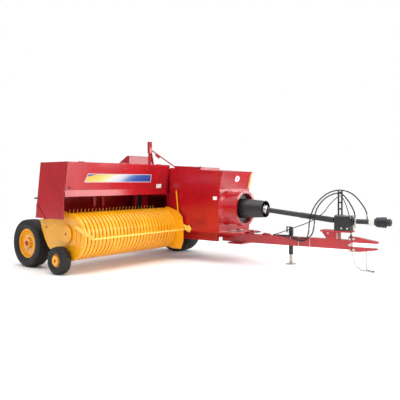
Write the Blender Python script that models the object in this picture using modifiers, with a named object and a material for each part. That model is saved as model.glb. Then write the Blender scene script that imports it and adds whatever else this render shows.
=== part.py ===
"""Small square baler with a side pickup, built from separate named pieces.

Metres, +Z up.  +X points forward to the tractor, +Y to the machine's left.
Sizes are given from the right wheel's ground contact; the root empty then moves
everything so that the origin lies under the middle of the machine.
"""
import math

import bmesh
import bpy

# ---------------------------------------------------------------- driving sizes
GAP = 0.0003                     # clearance between pieces that touch
SHEET = 0.004                    # panel thickness
ORIGIN = (1.64, 1.28)            # machine point that lies over the origin

# wheels: (x, y, radius, width)
RIGHT_WHEEL = (0.0, 0.0, 0.343, 0.22)
LEFT_WHEEL = (0.55, 2.61, 0.394, 0.34)
GAUGE_WHEEL = (0.844, -0.135, 0.185, 0.15)
SPINDLE_RADIUS = 0.022
BORE_CLEARANCE = 0.001

# bale chamber and case
CASE_REAR, CASE_FRONT = -1.0, 1.64
CASE_WIDTH, CASE_HEIGHT = 0.46, 0.36
CASE_WALL = 0.012
CASE_Y = 2.10
CASE_FLOOR = 0.66

# feeder housing (the wide cross hood)
HOOD_RIGHT, HOOD_LEFT = -0.15, 1.83
HOOD_TOP, HOOD_TOP_FRONT, HOOD_TOP_REAR = 1.497, 1.033, 0.44
HOOD_FOLD_X, HOOD_FOLD_Z, HOOD_LIP_Z = 0.973, 1.117, 1.031
HOOD_BOTTOM, HOOD_BOTTOM_REAR, HOOD_BOTTOM_FRONT = 0.73, 0.321, 0.963
DECK_Z = CASE_FLOOR + 0.02
HOOD_END = 1.788                 # left end of the lifting hood
LID_GAP = 0.006                  # running gap round lids and hoods
HOOD_FLANGE = 0.02               # top flange of the lifting hood, hinged at its rear edge
DECK_FRONT = 0.555

# plunger housing
HOUSING_RIGHT, HOUSING_LEFT = 1.84, 2.635
HOUSING_REAR, HOUSING_TOP_FRONT, HOUSING_FRONT = 1.03, 2.085, 2.02
HOUSING_BOTTOM, HOUSING_KNEE = 0.463, 1.115
HOUSING_TOP_REAR_Z, HOUSING_TOP_FRONT_Z = 1.452, 1.385

# flywheel and drive line
DRIVE_Y, DRIVE_Z = 2.07, 0.836
COLLAR_RADIUS, COLLAR_INNER, COLLAR_FRONT = 0.264, 0.225, 2.335
FLYWHEEL_RADIUS, FLYWHEEL_WIDTH, FLYWHEEL_X = 0.205, 0.09, 2.15
BELL_BASE, BELL_MOUTH, BELL_REAR, BELL_FRONT = 0.145, 0.118, 2.262, 2.68
JOINT_POINT = (2.60, 2.07, 0.836)          # universal joint inside the bell
BEARING_POINT = (3.66, 2.565, 0.672)       # bearing on the tongue
SHAFT_RADIUS = 0.036

# tongue: swings about a vertical pin, drawn in its field position
TONGUE_PIN = (2.05, 2.357)
TONGUE_YAW = math.radians(7.2)
TONGUE_BOTTOM, TONGUE_HEIGHT, TONGUE_WIDTH = 0.295, 0.13, 0.10
TONGUE_TAIL, TONGUE_LENGTH = 0.30, 1.69
PIN_RADIUS = 0.024
PIN_CLEARANCE = 0.0007

# pickup
REEL_X, REEL_Z = 0.885, 0.53
BAND_X, BAND_Z, BAND_RADIUS = 0.90, 0.49, 0.32
PICKUP_RIGHT, PICKUP_LEFT = -0.04, 1.80
BAND_COUNT, BAND_WIDTH, BAND_THICK = 28, 0.045, 0.004
TINE_RADIUS, BAR_RADIUS, TINE_THICK = 0.325, 0.20, 0.006
PICKUP_PIVOT = (0.42, 0.60)
PIVOT_PIN = 0.013
GUARD_PIVOT = (1.10, 0.64)
GUARD_ROD = (1.45, 0.50)

SMOOTH = math.radians(35)

# ---------------------------------------------------------------- scene and materials
for old in list(bpy.data.objects):
    bpy.data.objects.remove(old, do_unlink=True)


def make_collection(name):
    collection = bpy.data.collections.new(name)
    bpy.context.scene.collection.children.link(collection)
    return collection


PARTS = make_collection("square_baler")
TOOLS = make_collection("cutters")


def make_material(name, rgb, roughness, metallic=0.0):
    material = bpy.data.materials.new(name)
    material.use_nodes = True
    shader = material.node_tree.nodes["Principled BSDF"]
    shader.inputs["Base Color"].default_value = (*rgb, 1.0)
    shader.inputs["Roughness"].default_value = roughness
    shader.inputs["Metallic"].default_value = metallic
    return material


RED = make_material("red_enamel", (0.56, 0.012, 0.014), 0.35)
YELLOW = make_material("yellow_enamel", (0.9, 0.42, 0.02), 0.4)
BLACK = make_material("black_enamel", (0.02, 0.02, 0.02), 0.45)
RUBBER = make_material("tyre_rubber", (0.025, 0.025, 0.027), 0.85)
PLASTIC = make_material("black_plastic", (0.03, 0.03, 0.032), 0.5)
STEEL = make_material("bright_steel", (0.6, 0.6, 0.58), 0.3, 1.0)
IRON = make_material("cast_iron", (0.12, 0.12, 0.12), 0.6, 0.9)
HOSE = make_material("hose_rubber", (0.02, 0.02, 0.02), 0.6)


def empty(name, place, parent=None, yaw=0.0):
    """An empty at a place given in its parent's own coordinates."""
    axis = bpy.data.objects.new(name, None)
    PARTS.objects.link(axis)
    axis.location = place
    axis.rotation_euler = (0, 0, yaw)
    axis.parent = parent
    return axis


ROOT = empty("machine", (-ORIGIN[0], -ORIGIN[1], 0.0))


# ---------------------------------------------------------------- shape helpers
def place(obj, name, material, base=None, offset=(0, 0, 0)):
    """Name a new object and hang it on a base empty, offset by the empty's place."""
    obj.name = name
    obj.data.name = name
    for collection in list(obj.users_collection):
        collection.objects.unlink(obj)
    PARTS.objects.link(obj)
    obj.data.materials.clear()
    obj.data.materials.append(material)
    obj.parent = base or ROOT
    obj.location = [a - b for a, b in zip(obj.location, offset)]
    return obj


def round_off(obj):
    obj.data.shade_smooth()
    obj.data.set_sharp_from_angle(angle=SMOOTH)
    return obj


def mesh_object(bm):
    """An object in the scene from a bmesh."""
    bmesh.ops.recalc_face_normals(bm, faces=bm.faces)
    mesh = bpy.data.meshes.new("shape")
    bm.to_mesh(mesh)
    bm.free()
    obj = bpy.data.objects.new("shape", mesh)
    bpy.context.scene.collection.objects.link(obj)
    return obj


def box(x0, x1, y0, y1, z0, z1):
    bpy.ops.mesh.primitive_cube_add(size=1.0)
    obj = bpy.context.object
    for vertex in obj.data.vertices:
        vertex.co.x *= x1 - x0
        vertex.co.y *= y1 - y0
        vertex.co.z *= z1 - z0
    obj.location = ((x0 + x1) / 2, (y0 + y1) / 2, (z0 + z1) / 2)
    return obj


def rod(start, end, radius, sides=16, end_radius=None):
    """A straight cylinder or cone between two points."""
    run = [b - a for a, b in zip(start, end)]
    length = math.sqrt(sum(d * d for d in run))
    bpy.ops.mesh.primitive_cone_add(
        vertices=sides, radius1=radius, depth=length,
        radius2=radius if end_radius is None else end_radius)
    obj = bpy.context.object
    pitch = math.acos(run[2] / length)
    turn = math.atan2(run[1], run[0])
    obj.rotation_euler = (0.0, pitch, turn)
    obj.location = [(a + b) / 2 for a, b in zip(start, end)]
    return round_off(obj)


def flat_mesh(curve_object):
    """A welded mesh in place of a curve object."""
    graph = bpy.context.evaluated_depsgraph_get()
    mesh = bpy.data.meshes.new_from_object(curve_object.evaluated_get(graph))
    bm = bmesh.new()
    bm.from_mesh(mesh)
    bmesh.ops.remove_doubles(bm, verts=bm.verts, dist=0.00005)
    bmesh.ops.recalc_face_normals(bm, faces=bm.faces)
    bm.to_mesh(mesh)
    bm.free()
    obj = bpy.data.objects.new("shape", mesh)
    bpy.context.scene.collection.objects.link(obj)
    obj.matrix_world = curve_object.matrix_world
    bpy.data.objects.remove(curve_object, do_unlink=True)
    return obj


def outline(points, low, high, plane="XZ"):
    """A flat plate: an outline in XZ pulled along Y, or in XY pulled along Z."""
    curve = bpy.data.curves.new("outline", "CURVE")
    curve.dimensions = "2D"
    curve.fill_mode = "BOTH"
    curve.extrude = (high - low) / 2
    spline = curve.splines.new("POLY")
    spline.points.add(len(points) - 1)
    for target, (a, b) in zip(spline.points, points):
        target.co = (a, b, 0.0, 1.0)
    spline.use_cyclic_u = True
    obj = bpy.data.objects.new("outline", curve)
    bpy.context.scene.collection.objects.link(obj)
    if plane == "XZ":
        obj.rotation_euler = (math.pi / 2, 0.0, 0.0)
        obj.location = (0.0, (low + high) / 2, 0.0)
    else:
        obj.location = (0.0, 0.0, (low + high) / 2)
    bpy.context.view_layer.update()
    return flat_mesh(obj)


def tube(points, radius, resolution=2):
    """A round wire or hose through a list of points."""
    curve = bpy.data.curves.new("tube", "CURVE")
    curve.dimensions = "3D"
    curve.bevel_depth = radius
    curve.bevel_resolution = resolution
    curve.use_fill_caps = True
    spline = curve.splines.new("POLY")
    spline.points.add(len(points) - 1)
    for target, point in zip(spline.points, points):
        target.co = (*point, 1.0)
    obj = bpy.data.objects.new("tube", curve)
    bpy.context.scene.collection.objects.link(obj)
    return obj


def turned(profile, centre, axis="Y", steps=32):
    """A closed turned ring: profile points (radius, along) run round an axis."""
    bm = bmesh.new()
    rings = []
    for radius, along in profile:
        rings.append([bm.verts.new((radius, 0.0, along))])
    for first, second in zip(rings, rings[1:] + rings[:1]):
        bm.edges.new((first[0], second[0]))
    bmesh.ops.spin(bm, geom=bm.verts[:] + bm.edges[:], cent=(0, 0, 0), axis=(0, 0, 1),
                   angle=math.tau, steps=steps, use_merge=True)
    obj = mesh_object(bm)
    if axis == "Y":
        obj.rotation_euler = (-math.pi / 2, 0.0, 0.0)
    if axis == "X":
        obj.rotation_euler = (0.0, math.pi / 2, 0.0)
    obj.location = centre
    return round_off(obj)


def as_tool(obj):
    """Put an operand out of sight in the cutters' collection."""
    for collection in list(obj.users_collection):
        collection.objects.unlink(obj)
    TOOLS.objects.link(obj)
    obj.hide_render = True
    obj.display_type = "WIRE"
    return obj


def combine(base, others, operation):
    """Boolean each operand with the base; the operands stay as hidden guides."""
    for number, other in enumerate(others):
        step = base.modifiers.new(f"{operation.lower()}_{number}", "BOOLEAN")
        step.operation = operation
        step.solver = "EXACT"
        step.object = as_tool(other)
    bpy.context.view_layer.update()
    graph = bpy.context.evaluated_depsgraph_get()
    mesh = bpy.data.meshes.new_from_object(base.evaluated_get(graph))
    base.modifiers.clear()
    base.data = mesh
    return base


def join(base, *others):
    return combine(base, others, "UNION")


def cut(base, *others):
    return combine(base, others, "DIFFERENCE")


def open_shell(points, low, high, open_sides, thickness=SHEET):
    """A sheet-metal hood: an XZ outline pulled along Y, with some sides left open."""
    bm = bmesh.new()
    near = [bm.verts.new((x, low, z)) for x, z in points]
    far = [bm.verts.new((x, high, z)) for x, z in points]
    count = len(points)
    for i in range(count):
        if i not in open_sides:
            j = (i + 1) % count
            bm.faces.new((near[i], near[j], far[j], far[i]))
    bm.faces.new(near)
    bm.faces.new(far[::-1])
    obj = mesh_object(bm)
    wall = obj.modifiers.new("wall", "SOLIDIFY")
    wall.thickness = thickness
    wall.offset = -1.0
    wall.use_even_offset = True
    graph = bpy.context.evaluated_depsgraph_get()
    bpy.context.view_layer.update()
    mesh = bpy.data.meshes.new_from_object(obj.evaluated_get(graph))
    obj.modifiers.clear()
    obj.data = mesh
    return obj


# ---------------------------------------------------------------- bale case and plunger
CASE_RIGHT, CASE_LEFT = CASE_Y - CASE_WIDTH / 2, CASE_Y + CASE_WIDTH / 2
CASE_ROOF = CASE_FLOOR + CASE_HEIGHT
CASE_OUT_RIGHT, CASE_OUT_LEFT = CASE_RIGHT - CASE_WALL, CASE_LEFT + CASE_WALL
CASE_BOTTOM, CASE_TOP = CASE_FLOOR - CASE_WALL, CASE_ROOF + CASE_WALL
FEED_REAR, FEED_FRONT = 0.36, 0.94


def bale_case():
    shell = box(CASE_REAR, CASE_FRONT, CASE_OUT_RIGHT, CASE_OUT_LEFT, CASE_BOTTOM, CASE_TOP)
    bore = box(CASE_REAR - 0.1, CASE_FRONT + 0.1, CASE_RIGHT, CASE_LEFT, CASE_FLOOR, CASE_ROOF)
    feed = box(FEED_REAR, FEED_FRONT, CASE_OUT_RIGHT - 0.1, CASE_RIGHT + 0.01,
               CASE_FLOOR + 0.02, CASE_ROOF - 0.02)
    needle_slots = [box(-0.62, 0.10, y - 0.02, y + 0.02, CASE_BOTTOM - 0.1, CASE_FLOOR + 0.01)
                    for y in NEEDLE_Y]
    place(cut(shell, bore, feed, *needle_slots), "bale_case", RED)


NEEDLE_Y = (CASE_Y - 0.13, CASE_Y + 0.13)
PLUNGER_REAR, PLUNGER_LENGTH = 1.13, 0.46      # stroke 0.76 towards the rear
RUN = 0.0006                                   # running gap on the chamber floor


def plunger():
    slide = empty("plunger_slide", (PLUNGER_REAR, CASE_Y, CASE_FLOOR + CASE_HEIGHT / 2), ROOT)
    body = box(PLUNGER_REAR, PLUNGER_REAR + PLUNGER_LENGTH,
               CASE_RIGHT + 0.006, CASE_LEFT - 0.006, CASE_FLOOR + RUN, CASE_ROOF - 0.006)
    place(body, "plunger", IRON, slide, slide.location)


def tension_section():
    """Cross channels with springs and crank screws that squeeze the bale."""
    rails = {}
    for name, low, high in (("upper_tension_rail", CASE_TOP + GAP, CASE_TOP + 0.07),
                            ("lower_tension_rail", CASE_BOTTOM - 0.07, CASE_BOTTOM - GAP)):
        rail = box(CASE_REAR + 0.10, CASE_REAR + 0.18, CASE_OUT_RIGHT - 0.09,
                   CASE_OUT_LEFT + 0.09, low, high)
        runner = box(CASE_REAR + 0.02, CASE_REAR + 0.60, CASE_Y - 0.03, CASE_Y + 0.03, low, high)
        rails[name] = [rail, runner]
    x = CASE_REAR + 0.14
    top = CASE_TOP + 0.07
    for y in (CASE_OUT_RIGHT - 0.055, CASE_OUT_LEFT + 0.055):
        rails["upper_tension_rail"] += [
            rod((x, y, top - 0.01), (x, y, top + 0.19), 0.026, 12),
            rod((x, y, top + 0.05), (x, y, top + 0.27), 0.011, 8),
            box(x - 0.012, x + 0.10, y - 0.008, y + 0.008, top + 0.25, top + 0.27),
            rod((x + 0.09, y, top + 0.26), (x + 0.09, y, top + 0.35), 0.012, 8)]
        rails["lower_tension_rail"].append(
            box(x - 0.012, x + 0.012, y - 0.006, y + 0.006, CASE_BOTTOM - 0.01, CASE_TOP))
    for name, pieces in rails.items():
        place(join(*pieces), name, RED)


KNOTTER_X = -0.10


def knotters():
    """Knotter stand, shaft and hinged shield on top of the bale case."""
    y0, y1 = CASE_Y - 0.22, CASE_Y + 0.20
    foot = CASE_TOP + GAP
    stand = box(KNOTTER_X - 0.14, SHIELD_FRONT - 0.005, y0, y1, foot, foot + 0.03)
    cheeks = [box(KNOTTER_X - 0.06, KNOTTER_X + 0.06, y, y + 0.02, foot + 0.01, foot + 0.28)
              for y in (y0 + 0.003, y1 - 0.023)]
    shaft = rod((KNOTTER_X, y0 + 0.01, foot + 0.23), (KNOTTER_X, y1 - 0.01, foot + 0.23), 0.02, 12)
    discs = []
    for y in NEEDLE_Y:
        discs.append(rod((KNOTTER_X, y - 0.02, foot + 0.23), (KNOTTER_X, y + 0.02, foot + 0.23),
                         0.12, 20))
        discs.append(box(KNOTTER_X - 0.13, KNOTTER_X - 0.03, y - 0.03, y + 0.03,
                         foot + 0.02, foot + 0.16))
    post = box(SHIELD_FRONT - 0.025, SHIELD_FRONT - 0.006, SHIELD_RIGHT + SHEET + LID_GAP,
               SHIELD_LEFT - SHEET - LID_GAP, foot + 0.01, SHIELD_TOP - SHEET - GAP)
    place(join(stand, *cheeks, shaft, *discs, post), "knotter_stack", IRON)
    hinge = empty("knotter_shield_hinge", (SHIELD_FRONT, CASE_Y, SHIELD_TOP), ROOT)
    shield = open_shell([(SHIELD_FRONT, SHIELD_TOP), (SHIELD_FRONT, SHIELD_LOW),
                         (SHIELD_REAR, SHIELD_LOW), (SHIELD_REAR, SHIELD_TOP)],
                        SHIELD_RIGHT, SHIELD_LEFT, (0, 1), SHEET)
    place(shield, "knotter_shield", RED, hinge, hinge.location)


SHIELD_FRONT, SHIELD_REAR = 0.13, -0.34
SHIELD_TOP, SHIELD_LOW = 1.672, 1.34
SHIELD_RIGHT, SHIELD_LEFT = CASE_Y - 0.31, CASE_Y + 0.232


def needles():
    """Curved needles on a cross frame hung below the bale case, parked down."""
    pivot_z = CASE_BOTTOM - 0.045
    cross = rod((0.26, CASE_OUT_RIGHT - 0.02, pivot_z), (0.26, CASE_OUT_LEFT + 0.02, pivot_z), 0.018, 12)
    arms = []
    for y in (CASE_OUT_RIGHT - 0.005, CASE_OUT_LEFT - 0.015):
        arms.append(box(-0.10, 0.27, y, y + 0.02, pivot_z - 0.21, pivot_z - 0.18))
        arms.append(box(0.24, 0.28, y, y + 0.02, pivot_z - 0.215, pivot_z + 0.01))
    bar = box(-0.13, -0.07, CASE_OUT_RIGHT - 0.005, CASE_OUT_LEFT + 0.005,
              pivot_z - 0.225, pivot_z - 0.165)
    blades = []
    for y in NEEDLE_Y:
        arc = []
        for i in range(9):
            angle = math.radians(200 + 9 * i)
            arc.append((0.17 + 0.52 * math.cos(angle), CASE_BOTTOM + 0.13 + 0.42 * math.sin(angle)))
        inner = [(x + 0.02, z + 0.045) for x, z in reversed(arc)]
        blades.append(outline(arc + inner, y - 0.008, y + 0.008))
    lugs = [box(0.235, 0.285, y, y + 0.03, pivot_z - 0.01, CASE_BOTTOM - GAP)
            for y in (CASE_Y - 0.20, CASE_Y + 0.17)]
    place(join(cross, *arms, bar, *blades, *lugs), "needle_frame", RED)


# ---------------------------------------------------------------- feeder housing
def feeder_housing():
    inner = HOOD_RIGHT + SHEET
    place(outline([(HOOD_TOP_FRONT - 0.006, HOOD_TOP - 0.006), (HOOD_TOP_REAR, HOOD_TOP),
                   (HOOD_BOTTOM_REAR, HOOD_BOTTOM), (HOOD_BOTTOM_FRONT, HOOD_BOTTOM),
                   (HOOD_FOLD_X - 0.006, HOOD_FOLD_Z)], HOOD_RIGHT, inner), "end_panel", RED)
    roof_low = HOOD_TOP - 0.001 - SHEET
    roof = box(HOOD_TOP_REAR, HOOD_TOP_FRONT - HOOD_FLANGE - GAP, inner + GAP, HOOD_LEFT,
               roof_low, roof_low + SHEET)
    place(roof, "roof_panel", RED)
    slope = (HOOD_TOP_REAR - HOOD_BOTTOM_REAR) / (HOOD_TOP - HOOD_BOTTOM)
    top = roof_low - GAP
    low = HOOD_BOTTOM
    inboard = PICKUP_RIGHT + SHIELD_PLATE + 0.008
    back = [(HOOD_TOP_REAR + 0.002 - slope * (HOOD_TOP - z), z) for z in (top, low)]
    plate = [back[0], back[1], (back[1][0] + SHEET, back[1][1]), (back[0][0] + SHEET, back[0][1])]
    skirt = box(back[1][0] + 0.0005, back[1][0] + SHEET - 0.0005, inboard, HOOD_LEFT - 0.002,
                DECK_Z - 0.02, low + 0.01)
    place(join(outline(plate, inner + GAP, HOOD_LEFT), skirt), "rear_panel", RED)
    deck = box(back[1][0] + SHEET + GAP, DECK_FRONT, inboard, CASE_OUT_RIGHT - GAP,
               DECK_Z - SHEET, DECK_Z)
    lip = box(DECK_FRONT - 0.03, DECK_FRONT - 0.002, inboard + 0.002, PICKUP_LEFT - 0.02,
              DECK_Z - 0.035, DECK_Z - 0.001)
    px, pz = PICKUP_PIVOT
    hangers = []
    for side, plate_out in ((inboard, PICKUP_RIGHT - 0.006),
                            (PICKUP_LEFT - SHIELD_PLATE - 0.018, PICKUP_LEFT + 0.006)):
        hangers.append(box(px - 0.03, px + 0.03, side, side + 0.010, pz - 0.03, DECK_Z - 0.001))
        hangers.append(rod((px, side + 0.005, pz), (px, plate_out, pz), PIVOT_PIN, 12))
    place(join(deck, lip, *hangers), "feeder_deck", RED)
    hinge = empty("hood_hinge", (HOOD_TOP_FRONT - HOOD_FLANGE, HOOD_RIGHT, HOOD_TOP), ROOT)
    t = SHEET
    face = [(HOOD_TOP_FRONT - HOOD_FLANGE, HOOD_TOP), (HOOD_TOP_FRONT, HOOD_TOP - 0.004),
            (HOOD_FOLD_X, HOOD_FOLD_Z), (HOOD_FOLD_X + 0.007, HOOD_LIP_Z),
            (HOOD_FOLD_X - 0.03, HOOD_LIP_Z - 0.002), (HOOD_FOLD_X - 0.03, HOOD_LIP_Z + t),
            (HOOD_FOLD_X + 0.007 - t, HOOD_LIP_Z + t), (HOOD_FOLD_X - t, HOOD_FOLD_Z),
            (HOOD_TOP_FRONT - t, HOOD_TOP - 0.004 - t), (HOOD_TOP_FRONT - HOOD_FLANGE, HOOD_TOP - t)]
    place(outline(face, HOOD_RIGHT + t + LID_GAP, HOOD_END), "front_hood", RED,
          hinge, hinge.location)
    place(outline([(HOOD_TOP_FRONT - 0.004, roof_low - GAP), (HOOD_TOP_REAR + 0.3, roof_low - GAP),
                   (HOOD_TOP_REAR + 0.3, HOOD_LIP_Z + 0.05), (HOOD_FOLD_X, HOOD_LIP_Z),
                   (HOOD_FOLD_X, HOOD_FOLD_Z)],
                  HOOD_END + LID_GAP, HOUSING_RIGHT - GAP), "hood_end_panel", RED)


FORK_Y = (0.62, 0.78, 1.46)
BEAM_X, BEAM_Z = 0.62, 1.34


FORK_DEPTH, FORK_WIDTH = 0.06, 0.044
FORK_KNEE, FORK_TIP, FORK_TIP_DEPTH = 0.87, 0.80, 0.015


def feeder_carriage():
    """The cross beam and hanging forks that sweep the crop into the chamber."""
    beam = box(BEAM_X - 0.05, BEAM_X + 0.05, HOOD_RIGHT + SHEET + GAP, CASE_OUT_RIGHT + 0.10,
               BEAM_Z - 0.05, BEAM_Z + 0.05)
    trolley = box(BEAM_X - 0.07, BEAM_X + 0.07, FORK_Y[0] - 0.06, FORK_Y[-1] + 0.06,
                  BEAM_Z - 0.10, BEAM_Z - 0.04)
    rear, front, root = BEAM_X - FORK_DEPTH / 2, BEAM_X + FORK_DEPTH / 2, BEAM_Z - 0.09
    # the tip is set back, so that the raised reel sweeps past in front of it
    blade = [(rear, root), (front, root), (front, FORK_KNEE), (rear + FORK_TIP_DEPTH, FORK_TIP), (rear, FORK_TIP)]
    forks = [outline(blade, y - FORK_WIDTH / 2, y + FORK_WIDTH / 2) for y in FORK_Y]
    place(join(beam, trolley, *forks), "feeder_forks", RED)


def feeder_drive():
    """Drive case over the chamber, with the upright yoke and its stay rod."""
    y0, y1 = CASE_OUT_RIGHT + 0.005, CASE_OUT_LEFT
    case = box(0.66, HOUSING_REAR - 0.001, y0 + 0.11, y1, CASE_TOP + GAP, HOUSING_TOP_REAR_Z - 0.01)
    place(case, "feeder_drive_case", RED)
    x, y, top = 0.50, CASE_OUT_RIGHT + 0.05, 1.90
    base = box(x - 0.06, x + 0.06, y - 0.03, y + 0.24, CASE_TOP + GAP, CASE_TOP + 0.03)
    right_leg = rod((x, y, CASE_TOP + 0.01), (x, y, top - 0.06), 0.021, 8)
    left_leg = rod((x, y + 0.20, CASE_TOP + 0.01), (x, y + 0.02, top - 0.10), 0.018, 8)
    head = [box(x - 0.025, x + 0.025, y + dy - 0.006, y + dy + 0.006, top - 0.17, top)
            for dy in (-0.014, 0.034)]
    pin = rod((x, y - 0.03, top - 0.025), (x, y + 0.05, top - 0.025), 0.012, 8)
    bridge = box(x - 0.025, x + 0.025, y - 0.02, y + 0.04, top - 0.19, top - 0.10)
    stay = rod((x, y + 0.03, top - 0.13), (x + 0.30, y + 0.30, CASE_TOP + 0.45), 0.010, 8)
    buckle = rod((x + 0.06, y + 0.084, top - 0.207), (x + 0.11, y + 0.129, top - 0.271), 0.019, 8)
    place(join(base, right_leg, left_leg, bridge, *head, pin, stay, buckle), "feeder_yoke", RED)


# ---------------------------------------------------------------- plunger housing
def plunger_housing():
    shell = open_shell([(HOUSING_REAR, HOUSING_TOP_REAR_Z), (HOUSING_TOP_FRONT, HOUSING_TOP_FRONT_Z),
                        (HOUSING_FRONT, HOUSING_KNEE), (HOUSING_FRONT, HOUSING_BOTTOM),
                        (HOUSING_REAR, HOUSING_BOTTOM)],
                       HOUSING_RIGHT, HOUSING_LEFT, (3, 4), SHEET)
    hole = rod((HOUSING_FRONT - 0.1, DRIVE_Y, DRIVE_Z), (HOUSING_FRONT + 0.1, DRIVE_Y, DRIVE_Z),
               COLLAR_INNER - 0.04, 32)
    place(cut(shell, hole), "plunger_housing", RED)
    floor = HOUSING_BOTTOM + GAP
    place(box(1.66, 1.99, DRIVE_Y - 0.16, DRIVE_Y + 0.16, floor, DRIVE_Z + 0.15), "gearbox", IRON)
    lid_x0, lid_x1 = 1.08, 1.58
    slope = (HOUSING_TOP_REAR_Z - HOUSING_TOP_FRONT_Z) / (HOUSING_TOP_FRONT - HOUSING_REAR)

    def roof(x):
        return HOUSING_TOP_REAR_Z - slope * (x - HOUSING_REAR)
    hinge = empty("top_lid_hinge", (lid_x0, HOUSING_LEFT - 0.2, roof(lid_x0) + GAP), ROOT)
    lid = outline([(lid_x0, roof(lid_x0) + GAP), (lid_x1, roof(lid_x1) + GAP),
                   (lid_x1, roof(lid_x1) + 0.035), (lid_x0, roof(lid_x0) + 0.035)],
                  HOUSING_RIGHT + 0.05, HOUSING_LEFT - 0.2)
    place(lid, "top_lid", RED, hinge, hinge.location)


def flywheel_parts():
    face = HOUSING_FRONT + GAP
    profile = [(COLLAR_INNER, 0.0), (COLLAR_INNER, COLLAR_FRONT - face), (COLLAR_RADIUS, COLLAR_FRONT - face),
               (COLLAR_RADIUS, COLLAR_FRONT - face - 0.085), (COLLAR_RADIUS - 0.02, COLLAR_FRONT - face - 0.085),
               (COLLAR_RADIUS - 0.02, 0.0)]
    place(turned(profile, (face, DRIVE_Y, DRIVE_Z), "X", 32), "flywheel_collar", RED)
    spin = empty("flywheel_axis", (FLYWHEEL_X, DRIVE_Y, DRIVE_Z), ROOT)
    disc = rod((FLYWHEEL_X - FLYWHEEL_WIDTH / 2, DRIVE_Y, DRIVE_Z),
               (FLYWHEEL_X + FLYWHEEL_WIDTH / 2, DRIVE_Y, DRIVE_Z), FLYWHEEL_RADIUS, 32)
    shaft = rod((1.99 + GAP, DRIVE_Y, DRIVE_Z), (2.54, DRIVE_Y, DRIVE_Z), 0.03, 16)
    nose = rod((2.5, DRIVE_Y, DRIVE_Z), (2.5895, DRIVE_Y, DRIVE_Z), 0.02, 16)
    place(join(disc, shaft, nose), "flywheel", IRON, spin, spin.location)
    plate = 0.008
    bell = [(0.05, 0.0), (0.05, plate), (BELL_BASE - SHEET, plate), (BELL_MOUTH - SHEET, BELL_FRONT - BELL_REAR),
            (BELL_MOUTH, BELL_FRONT - BELL_REAR), (BELL_BASE, plate + 0.05), (BELL_BASE, plate),
            (COLLAR_INNER - GAP, plate), (COLLAR_INNER - GAP, 0.0)]
    place(turned(bell, (BELL_REAR, DRIVE_Y, DRIVE_Z), "X", 32), "bell_guard", PLASTIC)


# ---------------------------------------------------------------- frame and axles
FRAME_RIGHT, FRAME_LEFT = 2.0, 2.62
FRAME_REAR = 0.99
FRAME_TOP, FRAME_LOW = HOUSING_BOTTOM - GAP, 0.315
PLATE = 0.022


def main_frame():
    beams = [box(FRAME_REAR, 1.86, y, y + 0.05, FRAME_LOW, FRAME_TOP)
             for y in (FRAME_RIGHT, FRAME_LEFT - 0.05)]
    cross = box(FRAME_REAR, FRAME_REAR + 0.08, FRAME_RIGHT, FRAME_LEFT, FRAME_LOW, FRAME_TOP)
    middle = box(1.50, 1.56, FRAME_RIGHT, FRAME_LEFT, FRAME_LOW, FRAME_TOP)
    top = TONGUE_BOTTOM + TONGUE_HEIGHT + 0.004
    upper = box(1.52, 2.20, FRAME_RIGHT, FRAME_LEFT, top, FRAME_TOP)
    lower = box(1.90, 2.16, TONGUE_PIN[1] - 0.14, TONGUE_PIN[1] + 0.14,
                TONGUE_BOTTOM - 0.004 - PLATE, TONGUE_BOTTOM - 0.004)
    pin = rod((*TONGUE_PIN, TONGUE_BOTTOM - 0.02), (*TONGUE_PIN, top + 0.01), PIN_RADIUS, 16)
    uprights = [box(1.00, 1.06, y - 0.03, y + 0.03, FRAME_LOW + 0.05, CASE_BOTTOM - GAP)
                for y in (CASE_OUT_RIGHT + 0.04 + 0.12, CASE_OUT_LEFT - 0.04)]
    place(join(beams[0], beams[1], cross, middle, upper, lower, pin, *uprights), "main_frame", RED)


AXLE_X, AXLE_Z = 0.0, 0.46


def axles():
    x, y, radius, _ = RIGHT_WHEEL
    beam = box(x - 0.05, x + 0.05, 0.19, CASE_Y + 0.18, AXLE_Z, AXLE_Z + 0.10)
    drop = box(x - 0.05, x + 0.05, 0.19, 0.24, radius - 0.05, AXLE_Z + 0.10)
    spindle = rod((x, y - 0.02, radius), (x, 0.22, radius), SPINDLE_RADIUS, 16)
    posts = [box(x - 0.04, x + 0.04, yy - 0.03, yy + 0.03, AXLE_Z + 0.05, CASE_BOTTOM - GAP)
             for yy in (CASE_Y - 0.18, CASE_Y + 0.15)]
    brace = box(x + 0.01, 0.40, 1.00, 1.06, AXLE_Z + 0.03, AXLE_Z + 0.09)
    riser = box(0.35, 0.39, 1.005, 1.055, AXLE_Z + 0.04, DECK_Z - SHEET - GAP)
    place(join(beam, drop, spindle, *posts, brace, riser), "axle_beam", RED)
    x, y, radius, _ = LEFT_WHEEL
    leg = box(x - 0.06, x + 0.06, CASE_OUT_LEFT - 0.10, CASE_OUT_LEFT + 0.03, radius - 0.06,
              CASE_BOTTOM - GAP)
    stub = rod((x, CASE_OUT_LEFT - 0.02, radius), (x, y + 0.02, radius), SPINDLE_RADIUS, 16)
    place(join(leg, stub), "left_axle", RED)


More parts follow.
